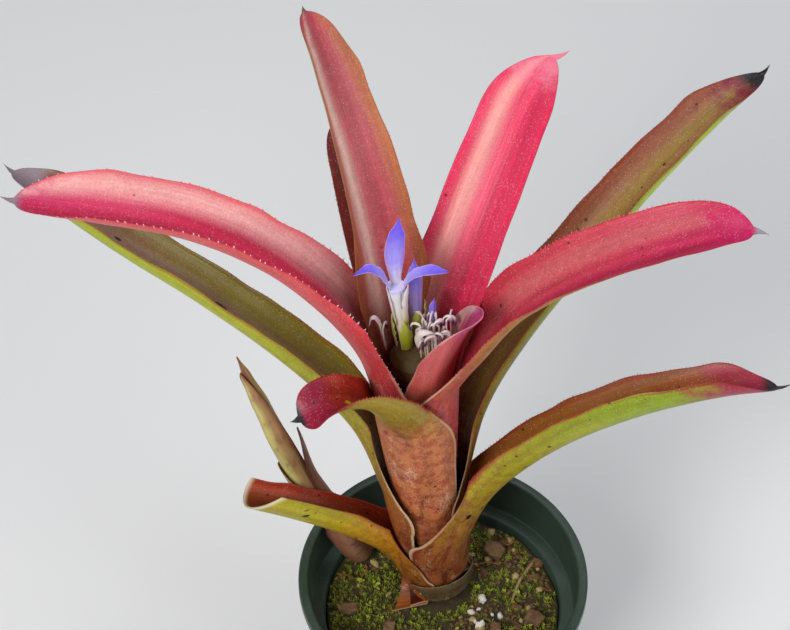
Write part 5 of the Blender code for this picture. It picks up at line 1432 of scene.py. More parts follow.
@dataclass
class Flowers:
    """The open flower, its buds and the spent flowers in the cup."""

    crown: Crown = field(default_factory=Crown)
    tube_path: tuple[Point, ...] = ((-0.0024, 0.0, 0.1325), (-0.0028, 0.0, 0.141), (-0.0034, 0.0, 0.150),
                                    (-0.0037, 0.0, 0.158))
    tube_radii: Pairs = ((0.0, 0.0018), (0.35, 0.0020), (0.7, 0.0023), (1.0, 0.0029))
    bud_path: tuple[Point, ...] = ((0.0010, 0.0046, 0.1325), (0.0014, 0.0044, 0.142), (0.0020, 0.0042, 0.156),
                                   (0.0025, 0.0040, 0.166))
    bud_radii: Pairs = ((0.0, 0.0018), (0.4, 0.0022), (0.72, 0.0025), (1.0, 0.0001))
    small_bud_path: tuple[Point, ...] = ((0.0060, 0.0020, 0.1315), (0.0062, 0.0020, 0.137),
                                         (0.0068, 0.0020, 0.144),
                                         (0.0078, 0.0020, 0.1495))
    small_bud_radii: Pairs = ((0.0, 0.0012), (0.35, 0.0014), (0.75, 0.0011), (1.0, 0.0001))
    rod_sides: int = 36
    stamen_seed: int = 11
    stamen_foot: float = 0.1315
    stamen_top: float = 0.1375
    stamen_rise: float = 0.0055
    stamen_size: tuple[float, float] = (0.0010, 0.0019)
    stamen_width: tuple[float, float] = (0.00042, 0.00068)
    anther_width: tuple[float, float] = (0.00062, 0.00088)
    stamen_feet: tuple[tuple[float, float], ...] = (
        (0.0030, -0.0040), (0.0052, -0.0038), (0.0070, -0.0030), (0.0040, -0.0060), (0.0062, -0.0056),
        (0.0086, -0.0022), (0.0100, -0.0010), (0.0078, 0.0004), (0.0014, -0.0012), (0.0092, -0.0040),
        (0.0110, -0.0024), (0.0050, 0.0008), (-0.0090, -0.0010), (0.0036, -0.0022), (0.0122, -0.0002),
        (0.0026, -0.0064), (0.0048, -0.0074), (0.0070, -0.0060), (0.0022, -0.0030), (0.0060, -0.0016),
        (0.0084, -0.0050), (0.0100, 0.0012), (0.0076, -0.0074))

    def rods(self, white: bpy.types.Material, lavender: bpy.types.Material) -> None:
        """Make the tube of claws and the two buds.

        Args:
            white: Finish of the claws.
            lavender: Finish of the buds.
        """
        jobs = (("flower_tube", self.tube_path, self.tube_radii, white, "petal_white"),
                ("flower_bud_large", self.bud_path, self.bud_radii, lavender, "petal_lavender"),
                ("flower_bud_small", self.small_bud_path, self.small_bud_radii, lavender, "petal_lavender"))
        for name, path, radii, material, slot in jobs:
            fractions = np.linspace(0.0, 1.0, 49)
            centres, _ = spline(path, fractions)
            radius = eased(radii, fractions)
            vertices, faces, vectors = rod(centres, radius, self.rod_sides, (1.0, 0.0, 0.0))
            lobes = np.zeros(len(vertices))
            turn = np.linspace(0.0, 2.0 * math.pi, self.rod_sides, endpoint=False)
            seam = np.abs(((turn * 3 / (2 * math.pi) + 0.4) % 1.0) - 0.5) * 2.0
            dent = -0.20 * (seam > 0.90) * ((seam - 0.90) / 0.10)
            lobes[:-2] = np.tile(dent, len(fractions))
            middle = np.vstack([np.repeat(centres, self.rod_sides, axis=0), centres[:1], centres[-1:]])
            vertices = middle + (vertices - middle) * (1.0 + lobes[:, None])
            settle(mesh_object(f"{name}_bloom", self.crown.to_model(vertices), faces, material, vectors,
                               60.0), slot, name)

    def strips(self) -> tuple[tuple[Strip, FlowerFinish], ...]:
        """Petals, claws, sepals and spent petals, each with its finish."""
        lavender, green, spent = "petal_lavender", "sepal", "spent_petal"
        petal = ((0.0, 0.0016), (0.45, 0.0033), (0.72, 0.0028), (1.0, 0.0008))
        blade = ((0.0, 0.0012), (0.45, 0.0020), (0.75, 0.0021), (1.0, 0.0010))
        claw = ((0.0, 0.0016), (0.6, 0.0018), (1.0, 0.0012))
        sepal = ((0.0, 0.0018), (0.5, 0.0023), (1.0, 0.0008))
        return (
            (Strip("petal_upright_blade", ((-0.0037, 0.0012, 0.1576), (-0.0034, 0.0022, 0.168),
                                           (-0.0020, 0.0034, 0.177), (-0.0008, 0.0044, 0.1835)), (1, 0, 0),
                   petal,
                   0.0045, lavender, ("petal_upright",), 0.62), LAVENDER),
            (Strip("petal_left_blade", ((-0.0050, -0.0010, 0.1570), (-0.0078, -0.0022, 0.166),
                                        (-0.0115, -0.0032, 0.1695), (-0.0160, -0.0040, 0.1678)), (0, -1, 0.1),
                   blade,
                   0.0050, lavender, ("petal_left",), 0.60), LAVENDER),
            (Strip("petal_right_blade", ((-0.0022, -0.0012, 0.1570), (0.0015, -0.0024, 0.1645),
                                         (0.0070, -0.0030, 0.1675), (0.0130, -0.0030, 0.1665)), (0, 1, 0),
                   blade,
                   0.0050, lavender, ("petal_right",), 0.66, Form.ROUND), LAVENDER),
            (Strip("claw_left", ((-0.0046, -0.0006, 0.142), (-0.0054, -0.0012, 0.150),
                                 (-0.0062, -0.0018, 0.1600)),
                   (0, -1, 0.1), claw, 0.0030, "petal_white", (), 0.7), CLAW_WHITE),
            (Strip("claw_right", ((-0.0012, -0.0016, 0.142), (-0.0010, -0.0022, 0.151),
                                  (0.0002, -0.0026, 0.1615)),
                   (0.5, 1, 0), claw, 0.0030, "petal_white", (), 0.7), CLAW_WHITE),
            (Strip("sepal_left_blade", ((-0.0052, 0.0, 0.1315), (-0.0058, 0.0, 0.138),
                                        (-0.0056, 0.0, 0.1455)),
                   (0, -1, 0), sepal, 0.0030, green, ("sepal_left",)), SEPAL_GREEN),
            (Strip("sepal_front_blade", ((-0.0018, -0.0030, 0.1315), (-0.0016, -0.0036, 0.138),
                                         (-0.0022, -0.0034, 0.1450)), (1, 0.3, 0), sepal, 0.0030, green,
                   ("sepal_front",)), SEPAL_GREEN),
            (Strip("sepal_back_blade", ((-0.0030, 0.0034, 0.1315), (-0.0032, 0.0040, 0.138),
                                        (-0.0036, 0.0040, 0.144)),
                   (-1, 0.2, 0), sepal, 0.0030, green, ("sepal_back",)), SEPAL_GREEN),
            (Strip("bud_sepal_front", ((0.0014, 0.0022, 0.1315), (0.0018, 0.0016, 0.138),
                                       (0.0020, 0.0018, 0.144)),
                   (1, 0, 0), sepal, 0.0028, green, ()), SEPAL_GREEN),
            (Strip("bud_sepal_right", ((0.0038, 0.0048, 0.1315), (0.0046, 0.0048, 0.139),
                                       (0.0044, 0.0046, 0.146)),
                   (0, 1, 0), sepal, 0.0028, green, ()), SEPAL_GREEN),
            (Strip("spent_flower_left_husk", ((-0.0085, -0.0008, 0.1300), (-0.0094, -0.0010, 0.138),
                                              (-0.0106, -0.0012, 0.1445), (-0.0124, -0.0020, 0.1452),
                                              (-0.0130, -0.0028, 0.1425)), (0, -1, 0),
                   ((0, 0.0010), (0.5, 0.0014), (1, 0.0007)), 0.0022, spent, ("spent_flower_left",)),
             SPENT_WHITE),
            (Strip("spent_flower_front_husk", ((0.0026, -0.0050, 0.1315), (0.0016, -0.0062, 0.1385),
                                               (0.0030, -0.0072, 0.1435), (0.0062, -0.0070, 0.1435),
                                               (0.0076, -0.0064, 0.1400)), (0.6, -0.8, 0),
                   ((0, 0.0010), (0.5, 0.0014), (1, 0.0008)), 0.0022, spent, ("spent_flower_front",)),
             SPENT_WHITE),
            (Strip("spent_flower_middle_husk", ((0.0036, -0.0006, 0.1320), (0.0044, -0.0010, 0.140),
                                                (0.0034, -0.0014, 0.146), (0.0010, -0.0022, 0.1485)),
                   (0.3, -1, 0),
                   ((0, 0.0010), (0.5, 0.0013), (1, 0.0006)), 0.0022, spent, ("spent_flower_middle",)),
             SPENT_WHITE),
            (Strip("spent_flower_right_husk", ((0.0086, -0.0006, 0.1300), (0.0098, -0.0008, 0.137),
                                               (0.0116, -0.0010, 0.1425), (0.0136, -0.0012, 0.1420)),
                   (0, 1, 0),
                   ((0, 0.0010), (0.5, 0.0014), (1, 0.0008)), 0.0022, spent, ("spent_flower_right",)),
             SPENT_WHITE),
        )

    def curls(self, white: bpy.types.Material, wear: bpy.types.NodeTree) -> None:
        """Make the curled stamens with their dark anthers.

        Args:
            white: Finish of the filaments.
            wear: The shared wear pattern.
        """
        dark = WornFinish("anther_finish", paint(0.30, 0.07, 0.34), paint(0.50, 0.12, 0.36),
                          paint(0.80, 0.66, 0.72),
                          scale=900.0, grain_scale=3500.0, dust_share=0.25, roughness=0.5).material(wear)
        rng = random.Random(self.stamen_seed)
        threads, tips = [], []
        for x, y in self.stamen_feet:
            heading = rng.uniform(0.0, 2.0 * math.pi)
            size = rng.uniform(*self.stamen_size)
            top = self.stamen_top + rng.uniform(0.0, self.stamen_rise)
            arc = []
            for t in np.linspace(0.0, 1.0, 15):
                bend = t * rng.uniform(3.0, 3.6) if t == 1.0 else t * 3.3
                reach = size * (1.0 - math.cos(bend))
                arc.append((x + math.cos(heading) * reach, y + math.sin(heading) * reach,
                            top + size * math.sin(bend) * 1.1))
            path = np.array([(x, y, self.stamen_foot), (x, y, (self.stamen_foot + top) / 2)] + arc)
            width = rng.uniform(*self.stamen_width)
            threads.append(rod(self.crown.to_model(path), np.linspace(width * 0.8, width, len(path)), 8,
                               (0.3, 1.0, 0.0), 0.7))
            end, before = path[-1], path[-3]
            ahead = unit(end - before)
            line = np.array([end + ahead * s for s in np.linspace(-0.0006, 0.0018, 9)])
            fat = rng.uniform(*self.anther_width)
            radii = fat * np.sqrt(np.clip(1.0 - np.linspace(-1, 1, 9) ** 2, 0.02, 1.0))
            tips.append(rod(self.crown.to_model(line), radii, 10, (0.2, 1.0, 0.1), 0.8))
        for name, parts, material, slot in (("spent_stamens", threads, white, "spent_petal"),
                                            ("spent_anthers", tips, dark, "spent_petal")):
            vertices, faces, lie, flat = [], [], [], []
            shift = 0
            for part_vertices, part_faces, vectors in parts:
                vertices.append(part_vertices)
                faces += [[v + shift for v in face] for face in part_faces]
                lie.append(vectors["lie"])
                flat.append(vectors["flat"])
                shift += len(part_vertices)
            piece = mesh_object(name, np.vstack(vertices), faces, material,
                                {"lie": np.vstack(lie), "flat": np.vstack(flat)}, 60.0)
            settle(piece, slot)

    def build(self, wear: bpy.types.NodeTree) -> None:
        """Make every flower piece.

        Args:
            wear: The shared wear pattern.
        """
        made: dict[str, bpy.types.Material] = {}
        for finish in (LAVENDER, BUD_LAVENDER, CLAW_WHITE, SEPAL_GREEN, SPENT_WHITE):
            made[finish.name] = finish.material()
        self.rods(made[CLAW_WHITE.name], made[BUD_LAVENDER.name])
        for strip, finish in self.strips():
            strip.build(self.crown, made[finish.name])
        self.curls(made[SPENT_WHITE.name], wear)


# ---------------------------------------------------------------- offset
@dataclass(frozen=True)
class Scale:
    """A pointed scale leaf wrapped about the offset.

    Start and end are shares of the offset's length. It faces away from the back (0) through the left (90),
    front (180) and right (270), wraps that many degrees each way, and its tip stands out by the flare.
    """

    name: str
    start: float
    end: float
    layer: int
    facing: float
    wrap: float
    slot: str
    flare: float = 0.0


@dataclass
class Offset:
    """The young shoot: stem, spear and scale leaves."""

    line: tuple[Point, ...] = (
        (-0.0285, 0.0230, 0.0725), (-0.0322, 0.0195, 0.0830), (-0.0370, 0.0190, 0.0958),
        (-0.0430, 0.0202, 0.1070),
        (-0.0489, 0.0210, 0.1198), (-0.0552, 0.0213, 0.1386), (-0.0611, 0.0226, 0.1579),
        (-0.0680, 0.0250, 0.1770))
    radii: Pairs = ((0.0, 0.0024), (0.40, 0.0032), (0.62, 0.0031), (0.80, 0.0025), (0.92, 0.0015),
                    (1.0, 0.0003))
    stem_end: float = 0.62
    wall: float = 0.0005
    gap: float = 0.0005
    piece_gap: float = 0.0003
    scales: tuple[Scale, ...] = (
        Scale("offset_scale_low_front", 0.03, 0.27, 2, 200, 92, "offset_scale_brown"),
        Scale("offset_scale_low_back", 0.05, 0.36, 2, 15, 66, "offset_leaf"),
        Scale("offset_scale_left", 0.12, 0.54, 1, 100, 100, "offset_leaf"),
        Scale("offset_scale_right", 0.20, 0.66, 1, 280, 58, "offset_scale_brown", 0.0022),
        Scale("offset_scale_upper", 0.26, 0.95, 0, 150, 120, "offset_leaf"))

    @staticmethod
    def finish(name: str, light: Colour, dark: Colour, streak: Colour) -> bpy.types.Material:
        """A dry scale leaf's finish: lengthways fibres, a pale streak along the middle that is a painted
        highlight, and darker edges.

        Args:
            name: Material name.
            light: Main colour.
            dark: Colour of edges and blotches.
            streak: Colour of the streak along the middle, a painted highlight.

        Returns:
            A new material.
        """
        material, web, shader = new_material(name)
        across, along, _ = web.split(web.attribute("lie"))
        flat = web.attribute("flat")
        fibres = web.noise(web.scaled(flat, (1.0, 0.05, 1.0)), 1300.0, 3.0)
        cloud = web.noise(web.scaled(flat, (1.0, 0.35, 1.0)), 300.0, 4.0)
        reach = web.math("ABSOLUTE", web.math("ADD", across, web.times(web.math("SUBTRACT", cloud, 0.5),
                                                                       0.5)))
        # Painted highlight: the streak colour runs down the middle and fades into the main colour towards the
        # edges.
        skin = web.mix(web.times(web.step(reach, 0.05, 0.45), 1.0), streak, light)
        skin = web.mix(web.times(web.step(reach, 0.55, 1.0), 0.8), skin, dark)
        skin = web.mix(web.times(web.step(cloud, 0.50, 0.70), 0.55), skin, dark)
        tone = web.math("ADD", 0.72, web.times(fibres, 0.56))
        skin = web.mix(1.0, skin, web.join(tone, tone, tone), "MULTIPLY")
        skin = web.mix(web.times(web.step(along, 0.90, 1.0), 0.6), skin, dark)
        web.feed(shader.inputs["Base Color"], skin)
        web.feed(shader.inputs["Roughness"], web.math("ADD", 0.45, web.times(fibres, 0.25)))
        web.feed(shader.inputs["Normal"], web.height(web.math("ADD", fibres, cloud), 0.0002))
        return material

    def build(self) -> None:
        """Make the stem, the spear and every scale leaf."""
        # The last colour of each finish is the painted highlight down the middle.
        finishes = {
            "offset_stem": self.finish("offset_stem_finish", paint(0.58, 0.46, 0.30), paint(0.42, 0.26, 0.16),
                                       paint(0.66, 0.62, 0.40)),
            "offset_leaf": self.finish("offset_leaf_finish", paint(0.66, 0.52, 0.34), paint(0.50, 0.27, 0.18),
                                       paint(0.76, 0.72, 0.42)),
            "offset_scale_brown": self.finish("offset_scale_brown_finish", paint(0.58, 0.38, 0.28),
                                              paint(0.36, 0.18, 0.13), paint(0.68, 0.48, 0.36))}
        _, length = spline(self.line, (0.0, 1.0))
        spear_start = self.stem_end + self.piece_gap / length
        for name, start, end, slot in (("offset_stem", 0.0, self.stem_end, "offset_stem"),
                                       ("offset_spear", spear_start, 1.0, "offset_leaf")):
            fractions = np.linspace(start, end, 60)
            centres, _ = spline(self.line, fractions)
            vertices, faces, vectors = rod(centres, eased(self.radii, fractions), 28, (0.0, 1.0, 0.0))
            settle(mesh_object(f"{name}_shoot", vertices, faces, finishes[slot], vectors, 60.0), slot, name)
        for scale in self.scales:
            self.build_scale(scale, finishes[scale.slot])

    def build_scale(self, scale: Scale, material: bpy.types.Material) -> None:
        """Make one scale leaf.

        Args:
            scale: Its sizes.
            material: Its finish.
        """
        fractions = np.linspace(scale.start, scale.end, 61)
        centres, length = spline(self.line, fractions)
        _, across, normal = frames_along(centres, np.array([0.0, 1.0, 0.0]))
        share = (fractions - scale.start) / (scale.end - scale.start)
        radius = eased(self.radii, fractions) + self.gap + scale.layer * (self.wall + self.gap)
        radius = radius + scale.flare * smooth_step((share - 0.45) / 0.55)
        point = np.sqrt(1.0 - np.clip((share - 0.35) / 0.65, 0.0, 1.0) ** 1.6)
        wrap = np.maximum(np.radians(scale.wrap) * point, 0.10)
        u = np.linspace(-1.0, 1.0, 33)
        angle = math.radians(scale.facing) + wrap[:, None] * u[None]
        lift = 0.00035 * np.abs(u[None]) ** 6 * smooth_step((share - 0.2) / 0.5)[:, None]
        spoke = radius[:, None] + lift
        grid = (centres[:, None] + across[:, None] * (spoke * np.cos(angle))[..., None]
                + normal[:, None] * (spoke * np.sin(angle))[..., None])
        face = unit(np.cross(np.gradient(grid, axis=0), np.gradient(grid, axis=1)))
        outward = np.sign(np.sum(face * (grid - centres[:, None]), axis=2, keepdims=True).mean())
        depth = self.wall * (1.0 - 0.5 * np.abs(u[None]) ** 2)
        outer = grid + outward * face * depth[..., None]
        shape = grid.shape[:2]
        lie = np.stack([np.broadcast_to(u[None], shape), np.broadcast_to(share[:, None], shape),
                        np.zeros(shape)], 2)
        flat = np.stack([radius[:, None] * wrap[:, None] * u[None],
                         np.broadcast_to((fractions * length / (scale.end - scale.start))[:, None], shape),
                         np.full(shape, scale.facing * 0.01)], 2)
        if outward > 0:
            vertices, faces, vectors = closed_sheet(outer, grid, lie, flat)
        else:
            vertices, faces, vectors = closed_sheet(grid, outer, lie, flat)
        settle(mesh_object(f"{scale.name}_husk", vertices, faces, material, vectors, 70.0), scale.slot,
               scale.name)


# ---------------------------------------------------------------- pot
def rounded(profile: list[tuple[float, float]], radius: float, steps: int = 4) -> list[tuple[float, float]]:
    """Round the corners of a profile.

    Args:
        profile: Its points, the first and last kept.
        radius: How far a corner is cut back, at most.
        steps: Spans round each corner.

    Returns:
        The rounded profile.
    """
    points = [profile[0]]
    for before, corner, after in zip(profile, profile[1:], profile[2:]):
        p, c, q = (np.array(point) for point in (before, corner, after))
        reach = min(radius, 0.45 * np.linalg.norm(p - c), 0.45 * np.linalg.norm(q - c))
        a, b = c + unit(p - c) * reach, c + unit(q - c) * reach
        points += [tuple((1 - t) ** 2 * a + 2 * t * (1 - t) * c + t * t * b) for t in np.linspace(0.0, 1.0,
                                                                                                  steps + 1)]
    points.append(profile[-1])
    return points


@dataclass(frozen=True)
class Pot:
    """Thin nursery pot: tapered body, stepped collar, rolled rim and drain holes round its floor."""

    height: float = 0.090
    rim_radius: float = 0.050
    rim_lip: float = 0.0022
    lip_height: float = 0.0040
    rim_overhang: float = 0.0028
    ledge_width: float = 0.0047
    body_taper: float = 0.0075
    collar_depth: float = 0.0175
    wall: float = 0.0011
    floor: float = 0.0018
    edge_round: float = 0.0009
    drain_count: int = 8
    drain_radius: float = 0.0032
    drain_inset: float = 0.0095
    segments: int = 160

    def build(self, wear: bpy.types.NodeTree) -> None:
        """Make the pot.

        Args:
            wear: The shared wear pattern.
        """
        collar = self.rim_radius - self.rim_overhang
        body = collar - self.ledge_width
        base = body - self.body_taper
        ledge = self.height - self.collar_depth
        throat = self.rim_radius - self.rim_lip
        profile = [(0.0, 0.0), (base, 0.0), (body, ledge - self.wall), (collar, ledge - self.wall),
                   (throat, self.height - self.lip_height), (self.rim_radius, self.height - self.lip_height),
                   (self.rim_radius, self.height), (throat - self.wall, self.height),
                   (collar - self.wall, ledge),
                   (body - self.wall, ledge), (base - self.wall, self.floor), (0.0, self.floor)]
        finish = WornFinish("pot_finish", paint(0.20, 0.27, 0.23), paint(0.24, 0.32, 0.28),
                            paint(0.36, 0.40, 0.34),
                            scale=55.0, patch_share=0.6, dust_share=0.30, grain_scale=1500.0, roughness=0.40,
                            relief=0.00006)
        vertices, faces = turned(rounded(profile, self.edge_round), self.segments)
        pot = mesh_object("pot_shell", vertices, faces, finish.material(wear), sharp=40.0)
        holes = bmesh.new()
        for index in range(self.drain_count):
            turn = 2.0 * math.pi * (index + 0.5) / self.drain_count
            reach = base - self.drain_inset
            place = Matrix.Translation((reach * math.cos(turn), reach * math.sin(turn), 0.0))
            bmesh.ops.create_cone(holes, cap_ends=True, segments=32, radius1=self.drain_radius,
                                  radius2=self.drain_radius, depth=self.floor * 6.0, matrix=place)
        mesh = bpy.data.meshes.new("drain_holes")
        holes.to_mesh(mesh)
        holes.free()
        cutter = bpy.data.objects.new("drain_holes", mesh)
        bpy.context.scene.collection.objects.link(cutter)
        cut = pot.modifiers.new("drain_holes", "BOOLEAN")
        cut.operation = "DIFFERENCE"
        cut.solver = "EXACT"
        cut.object = cutter
        baked(pot)
        bpy.data.objects.remove(cutter)
        pot.data.shade_smooth()
        pot.data.set_sharp_from_angle(angle=math.radians(40))
        settle(pot, "pot_plastic", "pot")


# ---------------------------------------------------------------- potting mix
def refined(node: str, name: str, material: bpy.types.Material, levels: int, relief: float, scale: float,
            only_top: bool = False) -> bpy.types.Object:
    """A finely divided, roughened copy of a CAD piece.

    Args:
        node: Name of the CAD node.
        name: Name of the copy.
        material: Its finish.
        levels: How often its faces are divided.
        relief: Height of the roughness.
        scale: Lumps per metre.
        only_top: Roughen only the upper face, away from the crown.

    Returns:
        The new object.
    """
    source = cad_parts[node]
    work = bmesh.new()
    work.from_mesh(source.data)
    bmesh.ops.transform(work, matrix=source.matrix_world, verts=work.verts)
    bmesh.ops.remove_doubles(work, verts=work.verts, dist=1e-6)
    bmesh.ops.triangulate(work, faces=work.faces)
    for _ in range(levels):
        bmesh.ops.subdivide_edges(work, edges=work.edges, cuts=1, use_grid_fill=True)
        bmesh.ops.triangulate(work, faces=work.faces)
    if not only_top:
        bmesh.ops.smooth_vert(work, verts=work.verts, factor=0.5, use_axis_x=True, use_axis_y=True,
                              use_axis_z=True)
    bmesh.ops.recalc_face_normals(work, faces=work.faces)
    work.normal_update()
    crown = Crown()
    moves = []
    for vert in work.verts:
        place = vert.co * scale
        rise = noise.fractal(place, 0.7, 2.1, 4) + 0.5 * noise.noise(place * 3.1)
        amount = relief
        if only_top:
            from_crown = math.hypot(vert.co.x - crown.x, vert.co.y - crown.y)
            amount *= (float(smooth_step((from_crown - 0.0105) / 0.004))
                       * (1.0 if vert.normal.z > 0.5 else 0.0))
            amount *= float(smooth_step((0.0398 - math.hypot(vert.co.x, vert.co.y)) / 0.003))
        moves.append(vert.normal * rise * amount)
    for vert, move in zip(work.verts, moves):
        vert.co += move
    mesh = bpy.data.meshes.new(name)
    work.to_mesh(mesh)
    work.free()
    mesh.shade_smooth()
    mesh.set_sharp_from_angle(angle=math.radians(60))
    mesh.materials.clear()
    mesh.materials.append(material)
    piece = bpy.data.objects.new(name, mesh)
    bpy.context.scene.collection.objects.link(piece)
    return piece


def tuft_shape(leaves: int, width: float, seed: int) -> bpy.types.Mesh:
    """A tuft of small pointed leaflets, about one unit long each.

    Args:
        leaves: How many leaflets.
        width: Half width of a leaflet.
        seed: Random seed.

    Returns:
        A new mesh of closed leaflets.
    """
    rng = random.Random(seed)
    vertices, faces = [], []
    for index in range(leaves):
        heading = index * 2.4 + rng.uniform(-0.3, 0.3)
        lift = math.radians(rng.uniform(10.0, 40.0) + 35.0 * index / leaves)
        out = Vector((math.cos(heading) * math.cos(lift), math.sin(heading) * math.cos(lift), math.sin(lift)))
        side = Vector((-math.sin(heading), math.cos(heading), 0.0))
        up = out.cross(side).normalized() * -1.0
        foot = Vector((0.0, 0.0, 0.5 * index / leaves))
        length = rng.uniform(0.75, 1.1)
        belly = foot + out * length * 0.5
        tip = foot + out * length + Vector((0.0, 0.0, 0.12))
        start = len(vertices)
        vertices += [foot, belly + side * width, belly - side * width, belly - up * width * 0.45, tip]
        faces += [(start + a, start + b, start + c) for a, b, c in
                  ((0, 2, 1), (0, 1, 3), (0, 3, 2), (4, 1, 2), (4, 3, 1), (4, 2, 3))]
    return closed_mesh("tuft", vertices, faces)


def lump_shape(squash: float, rough: float, seed: int) -> bpy.types.Mesh:
    """An uneven lump, about one unit in radius.

    Args:
        squash: Height as a share of its width.
        rough: Share of its radius that is uneven.
        seed: Random seed.

    Returns:
        A new closed mesh.
    """
    work = bmesh.new()
    bmesh.ops.create_icosphere(work, subdivisions=2, radius=1.0)
    shift = Vector((seed * 3.7, seed * 1.3, seed * 7.1))
    for vert in work.verts:
        vert.co *= 1.0 + rough * 2.0 * noise.noise(vert.co * 1.3 + shift)
        vert.co.z *= squash
    vertices = [vert.co.copy() for vert in work.verts]
    faces = [tuple(vert.index for vert in face.verts) for face in work.faces]
    work.free()
    return closed_mesh("lump", vertices, faces)


def fibre_shape(bend: float) -> bpy.types.Mesh:
    """A thin bent fibre, about two units long.

    Args:
        bend: Height of its bow.

    Returns:
        A new closed mesh.
    """
    centres, _ = spline(((-1.0, 0.0, 0.0), (-0.3, bend, 0.1), (0.4, -bend * 0.4, 0.15), (1.0, bend, 0.0)),
                        np.linspace(0.0, 1.0, 8))
    vertices, faces, _ = rod(centres, np.full(8, 0.055), 5, (0.0, 0.0, 1.0))
    return closed_mesh("fibre", vertices, faces)


def closed_mesh(name: str, vertices: list, faces: list) -> bpy.types.Mesh:
    """A mesh with its faces turned outward.

    Args:
        name: Mesh name.
        vertices: Its points.
        faces: Vertex indices of each face.

    Returns:
        The new mesh.
    """
    mesh = bpy.data.meshes.new(name)
    mesh.from_pydata([tuple(point) for point in vertices], [], faces)
    work = bmesh.new()
    work.from_mesh(mesh)
    bmesh.ops.recalc_face_normals(work, faces=work.faces)
    work.to_mesh(mesh)
    work.free()
    return mesh


def scatter_tree() -> bpy.types.NodeTree:
    """Strew one shape over a surface, where its "cover" attribute allows, and lean each copy its own way."""
    number, whole, arrow = "NodeSocketFloat", "NodeSocketInt", "NodeSocketVector"
    inputs = {"Geometry": ("NodeSocketGeometry", None), "Shape": ("NodeSocketObject", None),
              "Apart": (number, 0.002),
              "Where": (arrow, (1.0, 0.0, 0.0)), "Least": (number, 0.001), "Most": (number, 0.002),
              "Lean": (number, 0.5), "Sink": (number, 0.0), "Seed": (whole, 0),
              "Material": ("NodeSocketMaterial", None)}
    tree, web, given, result = new_group("scatter", "GeometryNodeTree", inputs,
                                         {"Geometry": "NodeSocketGeometry"})
    g = given.outputs
    cover = web.node("GeometryNodeInputNamedAttribute", {"Name": "cover"},
                     data_type="FLOAT_VECTOR").outputs[0]
    share = web.node("ShaderNodeVectorMath", {0: cover, 1: g["Where"]},
                     operation="DOT_PRODUCT").outputs["Value"]
    spread = web.node("GeometryNodeDistributePointsOnFaces", {
        "Mesh": g["Geometry"], "Distance Min": g["Apart"], "Density Max": 900000.0, "Density Factor": share,
        "Seed": g["Seed"]}, distribute_method="POISSON")
    moved = web.node("GeometryNodeSetPosition", {
        "Geometry": spread.outputs["Points"],
        "Offset": web.join(0.0, 0.0, web.times(g["Sink"], -1.0))})
    turn = web.node("FunctionNodeRandomValue", {0: (-1.0, -1.0, -3.14159), 1: (1.0, 1.0, 3.14159),
                                                "Seed": g["Seed"]}, data_type="FLOAT_VECTOR")
    x, y, z = web.split(turn.outputs[0])
    euler = web.node("FunctionNodeEulerToRotation", {
        0: web.join(web.times(x, g["Lean"]), web.times(y, g["Lean"]), z)})
    size = web.node("FunctionNodeRandomValue", {"Min_001": g["Least"], "Max_001": g["Most"],
                                                "Seed": web.math("ADD", g["Seed"], 7.0)},
                    data_type="FLOAT").outputs[1]
    stretch = web.node("FunctionNodeRandomValue", {0: (0.7, 0.7, 0.7), 1: (1.3, 1.3, 1.1),
                                                   "Seed": web.math("ADD", g["Seed"], 13.0)},
                       data_type="FLOAT_VECTOR").outputs[0]
    scale = web.node("ShaderNodeVectorMath", {0: stretch, "Scale": size}, operation="SCALE").outputs[0]
    shape = web.node("GeometryNodeObjectInfo", {"Object": g["Shape"]})
    placed = web.node("GeometryNodeInstanceOnPoints", {"Points": moved.outputs[0],
                                                       "Instance": shape.outputs["Geometry"],
                                                       "Rotation": euler.outputs[0], "Scale": scale})
    real = web.node("GeometryNodeRealizeInstances", {"Geometry": placed.outputs[0]})
    dressed = web.node("GeometryNodeSetMaterial", {"Geometry": real.outputs[0], "Material": g["Material"]})
    web.feed(result.inputs[0], dressed.outputs[0])
    return tree


class Grain(Enum):
    """Shapes that are strewn over the mix."""

    TUFT = "tuft"
    LEAFLET = "leaflet"
    LUMP = "lump"
    FLAKE = "flake"
    FIBRE = "fibre"

    def mesh(self) -> bpy.types.Mesh:
        """The shape at unit size."""
        if self is Grain.TUFT:
            return tuft_shape(8, 0.16, 3)
        if self is Grain.LEAFLET:
            return tuft_shape(5, 0.34, 5)
        if self is Grain.LUMP:
            return lump_shape(0.75, 0.32, 2)
        if self is Grain.FLAKE:
            return lump_shape(0.38, 0.40, 4)
        return fibre_shape(0.22)


@dataclass(frozen=True)
class Litter:
    """One kind of thing strewn over the mix.

    Where weighs the ground's moss, open mix and perlite shares.
    """

    name: str
    grain: Grain
    finish: WornFinish
    where: Point
    apart: float
    sizes: tuple[float, float]
    lean: float
    sink: float
    seed: int


